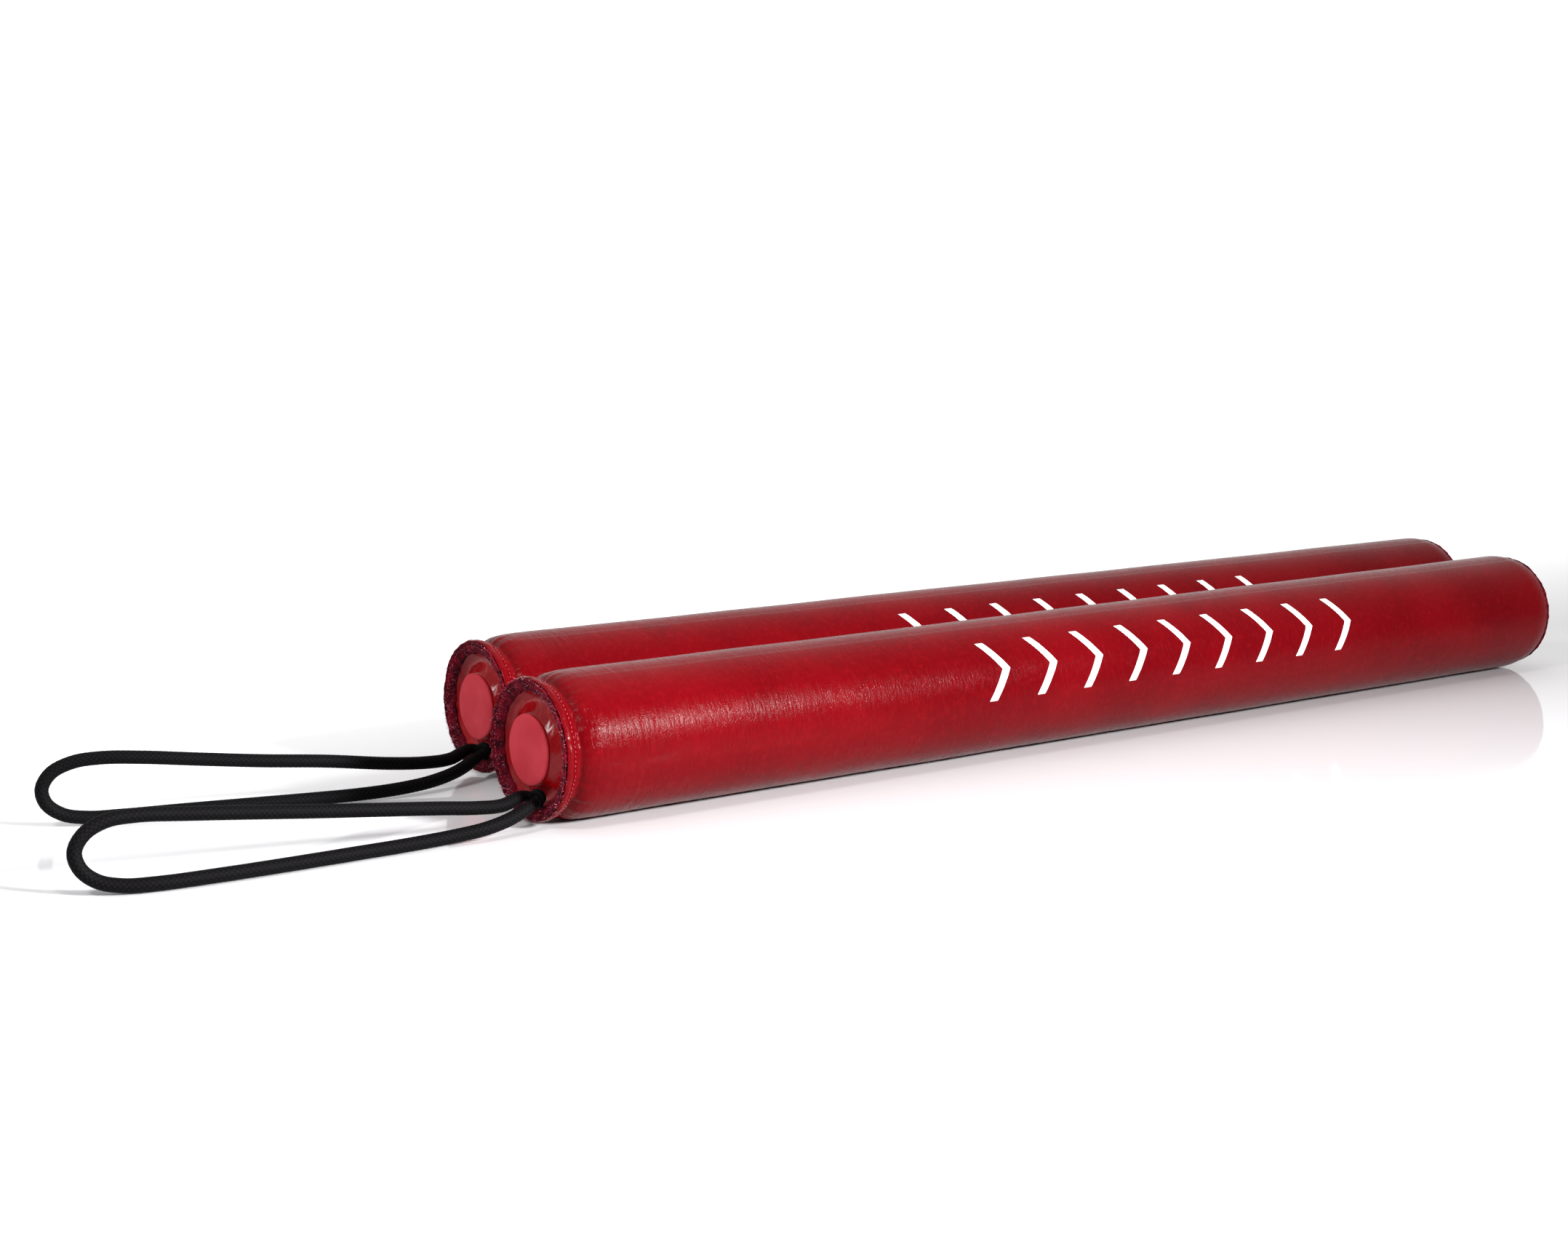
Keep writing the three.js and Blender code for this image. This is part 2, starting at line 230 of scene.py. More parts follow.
def weld(mesh: bpy.types.Mesh) -> None:
    """Merge points that coincide, such as the rows that meet at a pole."""
    work = bmesh.new()
    work.from_mesh(mesh)
    bmesh.ops.remove_doubles(work, verts=work.verts, dist=1e-7)
    work.to_mesh(mesh)
    work.free()
    mesh.update()


def tube_points(
    path: np.ndarray, radius: np.ndarray, angles: np.ndarray, swell: Optional[np.ndarray] = None
) -> np.ndarray:
    """Carry a circle along a path: path + radius * (cos(angle) * side + sin(angle) * top).

    Side and top start square to the path and are carried along it without twist, each projected square to the
    next step's direction.

    Args:
        path: Points, of shape (n, 3).
        radius: The circle's radius at each point, of shape (n,).
        angles: Angles round the circle, of shape (m,).
        swell: A share added to the radius, of shape (n, m).

    Returns:
        Positions, of shape (n, m, 3).
    """
    tangents = np.gradient(path, axis=0)
    tangents /= np.linalg.norm(tangents, axis=1, keepdims=True)
    side = np.cross(tangents[0], (0.0, 0.0, 1.0))
    side /= np.linalg.norm(side)
    sides = []
    for tangent in tangents:
        side = side - tangent * (side @ tangent)
        side = side / np.linalg.norm(side)
        sides.append(side)
    sides = np.array(sides)
    tops = np.cross(sides, tangents)
    reach = radius[:, None] * (1.0 + (0.0 if swell is None else swell))
    circle = np.cos(angles)[None, :, None] * sides[:, None] + np.sin(angles)[None, :, None] * tops[:, None]
    return path[:, None] + np.broadcast_to(reach, (len(path), len(angles)))[..., None] * circle


def smooth_route(points: np.ndarray, step: float) -> np.ndarray:
    """A smooth line through points, sampled evenly.

    Between two points p1 and p2 with neighbours p0 and p3 it is the centripetal Catmull-Rom curve, its knots
    are spaced by the square roots of the distances between the points.

    Args:
        points: Route points, of shape (n, 3).
        step: Distance between samples.

    Returns:
        Samples, of shape (m, 3), with both ends of the route kept.
    """
    padded = np.vstack([2 * points[0] - points[1], points, 2 * points[-1] - points[-2]])
    dense = []
    for i in range(len(points) - 1):
        p0, p1, p2, p3 = padded[i : i + 4]
        t0 = 0.0
        t1 = t0 + math.sqrt(np.linalg.norm(p1 - p0))
        t2 = t1 + math.sqrt(np.linalg.norm(p2 - p1))
        t3 = t2 + math.sqrt(np.linalg.norm(p3 - p2))
        t = np.linspace(t1, t2, 24, endpoint=False)[:, None]
        a1 = (t1 - t) / (t1 - t0) * p0 + (t - t0) / (t1 - t0) * p1
        a2 = (t2 - t) / (t2 - t1) * p1 + (t - t1) / (t2 - t1) * p2
        a3 = (t3 - t) / (t3 - t2) * p2 + (t - t2) / (t3 - t2) * p3
        b1 = (t2 - t) / (t2 - t0) * a1 + (t - t0) / (t2 - t0) * a2
        b2 = (t3 - t) / (t3 - t1) * a2 + (t - t1) / (t3 - t1) * a3
        dense.append((t2 - t) / (t2 - t1) * b1 + (t - t1) / (t2 - t1) * b2)
    line = np.vstack([*dense, points[-1:]])
    run = np.concatenate([[0.0], np.cumsum(np.linalg.norm(np.diff(line, axis=0), axis=1))])
    places = np.linspace(0.0, run[-1], max(2, int(round(run[-1] / step)) + 1))
    return np.stack([np.interp(places, run, line[:, k]) for k in range(3)], axis=1)


def above_floor(points: np.ndarray, clearance: Any) -> np.ndarray:
    """Lift the points that lie lower than a clearance above the floor, in place, and return them."""
    points[..., 2] = np.maximum(points[..., 2], clearance)
    return points


# -------------------------------------------------------------------------------------------------------
# Finishes
# -------------------------------------------------------------------------------------------------------


def new_material(name: str) -> tuple[bpy.types.Material, bpy.types.NodeTree, bpy.types.Node]:
    """Start a material: an empty node tree with a Principled shader joined to the output.

    Args:
        name: The material's name.

    Returns:
        The material, its tree and its Principled node.
    """
    material = bpy.data.materials.new(name)
    material.use_nodes = True
    tree = material.node_tree
    tree.nodes.clear()
    shader = add_node(tree, "ShaderNodeBsdfPrincipled")
    add_node(tree, "ShaderNodeOutputMaterial", links={"Surface": shader.outputs["BSDF"]})
    return material, tree, shader


def noise(
    tree: bpy.types.NodeTree, scale: float, detail: float, vector: bpy.types.NodeSocket
) -> bpy.types.Node:
    """Add a cloudy noise texture: its scale is in cells to the unit of the vector."""
    return add_node(
        tree, "ShaderNodeTexNoise", values={"Scale": scale, "Detail": detail}, links={"Vector": vector}
    )


def mixed(
    tree: bpy.types.NodeTree, share: bpy.types.NodeSocket, first: Any, second: Any
) -> bpy.types.NodeSocket:
    """Mix two colours by a share. Each is a linear colour or a socket."""
    node = add_node(tree, "ShaderNodeMix", {"data_type": "RGBA"}, links={0: share})
    for number, colour in ((6, first), (7, second)):
        if isinstance(colour, bpy.types.NodeSocket):
            tree.links.new(colour, node.inputs[number])
        else:
            node.inputs[number].default_value = colour
    return node.outputs[2]


def mapped(
    tree: bpy.types.NodeTree, source: bpy.types.NodeSocket, scale: tuple[float, float, float]
) -> Any:
    """Scale a texture coordinate and return its socket."""
    node = add_node(tree, "ShaderNodeMapping", values={"Scale": scale}, links={"Vector": source})
    return node.outputs["Vector"]


def ranged(
    tree: bpy.types.NodeTree, value: Any, low: float, high: float, to_low: float, to_high: float
) -> Any:
    """Carry a value from one range to another, clamped, and return its socket."""
    numbers = {"From Min": low, "From Max": high, "To Min": to_low, "To Max": to_high}
    return add_node(tree, "ShaderNodeMapRange", values=numbers, links={"Value": value}).outputs["Result"]


@dataclass(frozen=True)
class PlatedLeather:
    """Pigmented cowhide, plated smooth: an even dyed film with a fine pore grain and soft creases across it.

    To the eye it is saturated and satiny, with a soft highlight that breaks into short dashes: the crowns
    of the creases are polished and their hollows are dull.
    """

    colour: str = "#69030a"
    shade: str = "#5c0208"
    glow: str = "#77080f"
    roughness: float = 0.22
    ior: float = 1.15
    grain: float = 0.9 * MM
    crease_pitch: float = 1.2 * MM
    crease_run: float = 5.0 * MM
    crease_reach: float = 0.26
    grain_height: float = 0.03 * MM
    crease_height: float = 0.28 * MM
    polish: float = 0.06
    coat: float = 0.0
    coat_roughness: float = 0.2

    def material(self, name: str) -> bpy.types.Material:
        """Make the leather. Creases follow the surface coordinates (metres along, metres round)."""
        material, tree, shader = new_material(name)
        place = add_node(tree, "ShaderNodeTexCoord")
        solid = place.outputs["Object"]
        skin = add_node(tree, "ShaderNodeUVMap", {"uv_map": "UVMap"}).outputs["UV"]
        clouds = noise(tree, 26.0, 4.0, solid)
        share = ranged(tree, clouds.outputs["Fac"], 0.38, 0.62, 0.0, 0.75)
        dyed = mixed(tree, share, linear(self.shade), linear(self.colour))
        fine = noise(tree, 420.0, 3.0, solid)
        tone = mixed(tree, ranged(tree, fine.outputs["Fac"], 0.5, 0.8, 0.0, 0.5), dyed, linear(self.glow))
        tree.links.new(tone, shader.inputs["Base Color"])
        pores = add_node(
            tree,
            "ShaderNodeTexVoronoi",
            {"feature": "DISTANCE_TO_EDGE"},
            {"Scale": 1.0 / self.grain},
            {"Vector": solid},
        )
        across = mapped(tree, skin, (1.0 / self.crease_pitch, 1.0 / self.crease_run, 1.0))
        folds = add_node(
            tree,
            "ShaderNodeTexNoise",
            values={"Scale": 1.0, "Detail": 3.0, "Roughness": 0.6, "Distortion": 0.35},
            links={"Vector": across},
        )
        run = add_node(tree, "ShaderNodeSeparateXYZ", links={0: skin}).outputs["X"]
        near_wrist = ranged(tree, run, 0.02, self.crease_reach, 1.0, 0.22)
        patches = noise(tree, 38.0, 1.0, solid)
        patchy = ranged(tree, patches.outputs["Fac"], 0.35, 0.65, 0.35, 1.0)
        strength = add_node(
            tree, "ShaderNodeMath", {"operation": "MULTIPLY"}, links={0: near_wrist, 1: patchy}
        )
        low = add_node(
            tree,
            "ShaderNodeBump",
            values={"Distance": self.crease_height},
            links={"Height": folds.outputs["Fac"], "Strength": strength.outputs[0]},
        )
        grain = add_node(
            tree,
            "ShaderNodeBump",
            values={"Distance": self.grain_height, "Strength": 0.6},
            links={
                "Height": ranged(tree, pores.outputs["Distance"], 0.0, 0.12, 0.0, 1.0),
                "Normal": low.outputs[0],
            },
        )
        tree.links.new(grain.outputs[0], shader.inputs["Normal"])
        worn = ranged(
            tree,
            folds.outputs["Fac"],
            0.38,
            0.62,
            self.roughness - self.polish,
            self.roughness + self.polish,
        )
        tree.links.new(worn, shader.inputs["Roughness"])
        shader.inputs["IOR"].default_value = self.ior
        shader.inputs["Coat Weight"].default_value = self.coat
        shader.inputs["Coat Roughness"].default_value = self.coat_roughness
        return material


@dataclass(frozen=True)
class RawSuede:
    """Cut edge and flesh side of dyed leather: a matt, fibrous nap, darker than the grain side and mottled.

    To the eye it is a deep maroon with lighter, pinker fibre ends.
    """

    dark: str = "#2c020b"
    mid: str = "#620518"
    tips: str = "#a8223e"
    fibre: float = 0.45 * MM
    nap_height: float = 0.25 * MM
    roughness: float = 0.95

    def material(self, name: str) -> bpy.types.Material:
        """Make the nap: two noises, one for patches and one for fibre ends, tint it and raise it."""
        material, tree, shader = new_material(name)
        solid = add_node(tree, "ShaderNodeTexCoord").outputs["Object"]
        patches = noise(tree, 240.0, 4.0, solid)
        fibres = add_node(
            tree,
            "ShaderNodeTexNoise",
            values={"Scale": 0.5 / self.fibre, "Detail": 5.0, "Roughness": 0.75},
            links={"Vector": solid},
        )
        share = ranged(tree, patches.outputs["Fac"], 0.4, 0.62, 0.0, 1.0)
        body = mixed(tree, share, linear(self.dark), linear(self.mid))
        tone = mixed(
            tree, ranged(tree, fibres.outputs["Fac"], 0.54, 0.7, 0.0, 0.85), body, linear(self.tips)
        )
        tree.links.new(tone, shader.inputs["Base Color"])
        raised = add_node(
            tree,
            "ShaderNodeBump",
            values={"Distance": self.nap_height, "Strength": 1.0},
            links={"Height": fibres.outputs["Fac"]},
        )
        tree.links.new(raised.outputs[0], shader.inputs["Normal"])
        shader.inputs["Roughness"].default_value = self.roughness
        shader.inputs["IOR"].default_value = 1.2
        shader.inputs["Sheen Weight"].default_value = 0.12
        shader.inputs["Sheen Tint"].default_value = linear("#c04060")
        return material


@dataclass(frozen=True)
class MattLeatherPaintedSheen:
    """Matt leather for the wrist disc, without gloss: its red is painted lighter and pinker than the cover's,
    a painted reflection of the bright surround on its flat face.
    """

    # Painted reflection: a red lighter and pinker than the cover's, for the bright surround seen in the flat
    # face.
    colour: str = "#b02d38"
    worn: str = "#bc3742"
    grain: float = 0.35 * MM
    grain_height: float = 0.04 * MM
    roughness: float = 0.72

    def material(self, name: str) -> bpy.types.Material:
        """Make the matt face: soft patches of wear and a very fine even grain over the painted lighter red.
        """
        material, tree, shader = new_material(name)
        solid = add_node(tree, "ShaderNodeTexCoord").outputs["Object"]
        wear = noise(tree, 90.0, 3.0, solid)
        grit = noise(tree, 1.0 / self.grain, 2.0, solid)
        share = ranged(tree, wear.outputs["Fac"], 0.35, 0.65, 0.0, 1.0)
        tone = mixed(tree, share, linear(self.colour), linear(self.worn))
        tree.links.new(tone, shader.inputs["Base Color"])
        raised = add_node(
            tree,
            "ShaderNodeBump",
            values={"Distance": self.grain_height, "Strength": 0.7},
            links={"Height": grit.outputs["Fac"]},
        )
        tree.links.new(raised.outputs[0], shader.inputs["Normal"])
        shader.inputs["Roughness"].default_value = self.roughness
        shader.inputs["IOR"].default_value = 1.2
        return material


@dataclass(frozen=True)
class BraidedPolyester:
    """Black braided polyester cord: yarn bundles that cross, each with a painted sheen, a faint lighter line
    along its ridge.
    """

    colour: str = "#050405"
    # Colour of the painted sheen on the ridges of the yarn.
    ridge_sheen: str = "#100f11"
    carriers: int = 16
    pitch: float = 15.0 * MM
    roughness: float = 0.62

    def material(self, name: str) -> bpy.types.Material:
        """Make the yarn. Its colour follows the braid, by metres along the cord and radians round it, with a
        painted sheen on the ridges.
        """
        material, tree, shader = new_material(name)
        skin = add_node(tree, "ShaderNodeUVMap", {"uv_map": "UVMap"}).outputs["UV"]
        split = add_node(tree, "ShaderNodeSeparateXYZ", links={0: skin})
        crowns = []
        for turn in (1.0, -1.0):
            along = add_node(
                tree, "ShaderNodeMath", {"operation": "MULTIPLY"}, {
                    1: turn * math.pi * self.carriers / (2 * self.pitch)
                },
                {0: split.outputs["X"]},
            )
            phase = add_node(
                tree, "ShaderNodeMath", {"operation": "MULTIPLY_ADD"}, {1: self.carriers / 4},
                {0: split.outputs["Y"], 2: along.outputs[0]},
            )
            wave = add_node(tree, "ShaderNodeMath", {"operation": "SINE"}, links={0: phase.outputs[0]})
            crowns.append(
                add_node(tree, "ShaderNodeMath", {"operation": "ABSOLUTE"}, links={0: wave.outputs[0]})
            )
        both = add_node(
            tree, "ShaderNodeMath", {"operation": "MULTIPLY"}, links={
                0: crowns[0].outputs[0], 1: crowns[1].outputs[0]
            }
        )
        filaments = noise(tree, 1.0, 2.0, mapped(tree, skin, (900.0, 60.0, 1.0)))
        # Painted sheen: where both hands of the braid bulge, the black is mixed towards the lighter ridge
        # colour.
        share = ranged(tree, both.outputs[0], 0.2, 0.95, 0.0, 1.0)
        tone = mixed(tree, share, linear(self.colour), linear(self.ridge_sheen))
        tree.links.new(tone, shader.inputs["Base Color"])
        raised = add_node(
            tree,
            "ShaderNodeBump",
            values={"Distance": 0.08 * MM, "Strength": 0.5},
            links={"Height": filaments.outputs["Fac"]},
        )
        tree.links.new(raised.outputs[0], shader.inputs["Normal"])
        shader.inputs["Roughness"].default_value = self.roughness
        shader.inputs["IOR"].default_value = 1.14
        return material


@dataclass(frozen=True)
class PlainFinish:
    """A finish with a soft tonal noise and a fine bump, for the small and the hidden pieces."""

    colour: str
    second: str
    pattern: float
    height: float
    roughness: float
    metallic: float = 0.0

    def material(self, name: str) -> bpy.types.Material:
        """Make the finish: noise of the pattern's size mixes the two colours and raises the surface."""
        material, tree, shader = new_material(name)
        solid = add_node(tree, "ShaderNodeTexCoord").outputs["Object"]
        clouds = noise(tree, 1.0 / self.pattern, 3.0, solid)
        share = ranged(tree, clouds.outputs["Fac"], 0.4, 0.6, 0.0, 1.0)
        tone = mixed(tree, share, linear(self.colour), linear(self.second))
        tree.links.new(tone, shader.inputs["Base Color"])
        raised = add_node(
            tree,
            "ShaderNodeBump",
            values={"Distance": self.height, "Strength": 0.6},
            links={"Height": clouds.outputs["Fac"]},
        )
        tree.links.new(raised.outputs[0], shader.inputs["Normal"])
        shader.inputs["Roughness"].default_value = self.roughness
        shader.inputs["Metallic"].default_value = self.metallic
        return material


# Screen-printed white ink: a matt film that fills the grain, with the red just showing through thin spots.
PRINT_INK = PlainFinish("#f4f1f0", "#ece4e2", 1.5 * MM, 0.02 * MM, 0.55)
# Bonded nylon sewing thread, dyed to the leather: a little lustre on a twisted yarn.
SEWING_THREAD = PlainFinish("#8c1422", "#a62c3a", 0.9 * MM, 0.06 * MM, 0.6)
# Fibres that stand out of the cut edge: paler than the nap, dull.
LOOSE_FIBRE = PlainFinish("#84183a", "#d88a9a", 3.0 * MM, 0.02 * MM, 0.9)
# The cap's leather is the cover's, polished: stretched over a former, so it has gloss and few creases. Its
# red is painted lighter than the cover's: painted light for the dished end, which gets less light than the
# body.
GLAZED_CAP_PAINTED_LIGHT = PlatedLeather(
    # Painted light: a red lighter than the cover's, though it is the same leather.
    colour="#a0060f",
    shade="#80040b",
    glow="#b00c16",
    roughness=0.2,
    crease_height=0.05 * MM,
    polish=0.03,
    coat=0.3,
)
# Closed-cell foam: dull charcoal with open skins of cut bubbles.
CUT_FOAM = PlainFinish("#2b2b2d", "#39393c", 1.2 * MM, 0.3 * MM, 0.95)
# Extruded rigid tube and its moulded plugs: off-white, smooth, a little glossy.
RIGID_PLASTIC = PlainFinish("#d8d8d2", "#cfcfc8", 6.0 * MM, 0.02 * MM, 0.4)
# Stamped and tumbled steel.
TUMBLED_STEEL = PlainFinish("#b4b6b8", "#9fa2a5", 0.8 * MM, 0.02 * MM, 0.35, 1.0)


@dataclass(frozen=True)
class Wardrobe:
    """The materials that all pieces share."""

    leather: bpy.types.Material
    cap: bpy.types.Material
    suede: bpy.types.Material
    disc: bpy.types.Material
    cord: bpy.types.Material
    ink: bpy.types.Material
    thread: bpy.types.Material
    fibre: bpy.types.Material
    foam: bpy.types.Material
    plastic: bpy.types.Material
    steel: bpy.types.Material

    @classmethod
    def make(cls) -> "Wardrobe":
        """Make each material once."""
        return cls(
            leather=PlatedLeather().material("plated_red_leather"),
            cap=GLAZED_CAP_PAINTED_LIGHT.material("glazed_red_leather_painted_light"),
            suede=RawSuede().material("raw_leather_edge_and_painted_shade"),
            disc=MattLeatherPaintedSheen().material("matt_leather_painted_sheen"),
            cord=BraidedPolyester().material("black_braided_polyester"),
            ink=PRINT_INK.material("white_screen_print_ink"),
            thread=SEWING_THREAD.material("bonded_nylon_thread"),
            fibre=LOOSE_FIBRE.material("loose_leather_fibre"),
            foam=CUT_FOAM.material("closed_cell_foam"),
            plastic=RIGID_PLASTIC.material("extruded_rigid_plastic"),
            steel=TUMBLED_STEEL.material("tumbled_steel"),
        )


# -------------------------------------------------------------------------------------------------------
# Where a stick lies
# -------------------------------------------------------------------------------------------------------


@dataclass(frozen=True)
class StickPlace:
    """A stick's place: its seam point on the axis, its directions and its sizes, all read from the frame.

    A stick's own coordinates are (along the axis from the wrist seam, angle from the top towards the front
    stick's open side, distance from the axis).
    """

    side: Side
    seam: np.ndarray
    along: np.ndarray
    across: np.ndarray
    radius: float
    length: float

    @classmethod
    def from_frame(cls, side: Side) -> "StickPlace":
        """Read a stick's place: the disc and the core tube are both centred on its axis."""
        disc = np.array(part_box(f"{side.value}_wrist_disc"))
        tube = np.array(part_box(f"{side.value}_core_tube"))
        middle = tube.mean(axis=0)
        along = middle - disc.mean(axis=0)
        along /= np.linalg.norm(along)
        thickness = 1.2 * MM
        seam = disc.mean(axis=0) - along * thickness / 2
        length = 2.0 * float((middle - seam) @ along)
        return cls(side, seam, along, np.cross((0.0, 0.0, 1.0), along), float(middle[2]), length)

    @property
    def body(self) -> str:
        """Name of the stick's body."""
        return f"{self.side.value}_stick"

    @property
    def loop_body(self) -> str:
        """Name of the wrist loop's body."""
        return f"{self.side.value}_loop"

    def name(self, piece: str) -> str:
        """A piece's name with the stick's side before it."""
        return f"{self.side.value}_{piece}"

    def box_point(self, points: np.ndarray) -> np.ndarray:
        """Carry points (along, across, up from the axis) to the row frame."""
        points = np.asarray(points, float)
        up = np.array((0.0, 0.0, 1.0))
        level = points[..., :1] * self.along + points[..., 1:2] * self.across
        return self.seam + level + points[..., 2:3] * up

    def round_point(self, along: np.ndarray, angle: np.ndarray, radius: np.ndarray) -> np.ndarray:
        """Carry (along, angle, radius) to the row frame: across is minus radius times the angle's sine."""
        along, angle, radius = np.broadcast_arrays(along, angle, radius)
        return self.box_point(np.stack([along, -radius * np.sin(angle), radius * np.cos(angle)], axis=-1))

    def floor_point(self, points: np.ndarray) -> np.ndarray:
        """Carry points (along, across, height above the floor) to the row frame."""
        points = np.asarray(points, float).copy()
        points[..., 2] -= self.radius
        return self.box_point(points)

    def dress(self, piece: bpy.types.Object, material: bpy.types.Material, slot: str) -> bpy.types.Object:
        """Give a piece its material, and let it ride on the stick."""
        piece.data.materials.clear()
        piece.data.materials.append(material)
        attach(piece, self.body)
        LOG.info("%s: %d faces", piece.name, len(piece.data.polygons))
        return piece


# -------------------------------------------------------------------------------------------------------
# Camera
# -------------------------------------------------------------------------------------------------------


@dataclass(frozen=True)
class StudioCamera:
    """The camera: where it stands from the front stick's wrist seam, and where it looks.

    It stands behind the wrist ends, low and to the open side, and looks along the pair and slightly down.
    """

    behind: float = 455.8 * MM
    aside: float = 760.6 * MM
    height: float = 212.5 * MM
    heading: float = 37.01
    pitch: float = -8.972
    lens: float = 56.53
    sensor: float = 36.0

    def build(self, place: StickPlace) -> bpy.types.Object:
        """Make the camera and make it the scene's own.

        Args:
            place: The front stick's place. Its axis runs along +X.

        Returns:
            The camera.
        """
        data = bpy.data.cameras.new("studio_camera")
        data.sensor_fit = "HORIZONTAL"
        data.sensor_width = self.sensor
        data.lens = self.lens
        data.clip_start = 0.01
        data.clip_end = 60.0
        camera = bpy.data.objects.new("studio_camera", data)
        bpy.context.scene.collection.objects.link(camera)
        camera.location = (place.seam[0] - self.behind, place.seam[1] - self.aside, self.height)
        camera.rotation_euler = (math.radians(90.0 + self.pitch), 0.0, -math.radians(self.heading))
        bpy.context.scene.camera = camera
        return camera


# -------------------------------------------------------------------------------------------------------
# Wrist loops
# -------------------------------------------------------------------------------------------------------

# Each loop's route in millimetres: (along the stick from the wrist seam, across it, height above the floor).
# It leaves the knot, runs out and up over its own far bend, and comes back along the floor.
LOOP_ROUTES = {
    Side.FRONT: (
        (-1.6, -6.3, 11.8), (-5.2, -4.9, 12.3), (-15, -7.2, 10.7), (-26.1, -8.2, 11.5), (-41.6, -7.6, 13.4),
        (-63, -5.7, 15.6), (-86.7, -3.5, 18), (-110.5, -1.4, 20.6), (-132.3, 0.1, 23), (-148.8, 1.2, 24.6),
        (-159.4, 2.2, 24), (-166.7, 2.7, 20.5), (-170.3, 2.4, 15), (-169.1, 1.1, 9.4), (-164.3, -1, 5),
        (-156.8, -3.9, 3), (-145.7, -7, 2.7), (-123.6, -9.2, 2.7), (-98.7, -10, 2.7), (-74.4, -10.1, 2.7),
        (-52.9, -10.4, 2.8), (-36.3, -11.5, 3.5), (-25.6, -12.7, 4.6), (-15.3, -12.1, 6.4), (
            -5.2, -10.1, 9.5
        ),
        (-1.6, -8.5, 10.6),
    ),
    Side.REAR: (
        (-1.6, -6.3, 11.8), (-5.2, -4.9, 12.3), (-16.6, -9.6, 10.5), (-28.6, -12.3, 11), (
            -44.6, -13.1, 12.8
        ),
        (-70.5, -12.3, 16.8), (-95.4, -9.6, 19.6), (-119, -5, 22.4), (-138.5, 0.2, 24.6), (
            -151.9, 5.2, 25.2
        ),
        (-161.4, 9, 24), (-168.7, 11.2, 20.4), (-172, 11.8, 14.8), (-170.6, 11.3, 9.2), (-165.2, 10, 4.9),
        (-156.8, 8.1, 3), (-144.7, 5.1, 2.7), (-123.9, 0.6, 2.7), (-101.2, -4.9, 2.7), (-78.8, -10.4, 2.7),
        (-58.5, -14.8, 2.8), (-41.7, -17.5, 3.5), (-29, -17.7, 4.6), (-16.4, -14.7, 6.4), (
            -5.2, -10.1, 9.5
        ),
        (-1.6, -8.5, 10.6),
    ),
}


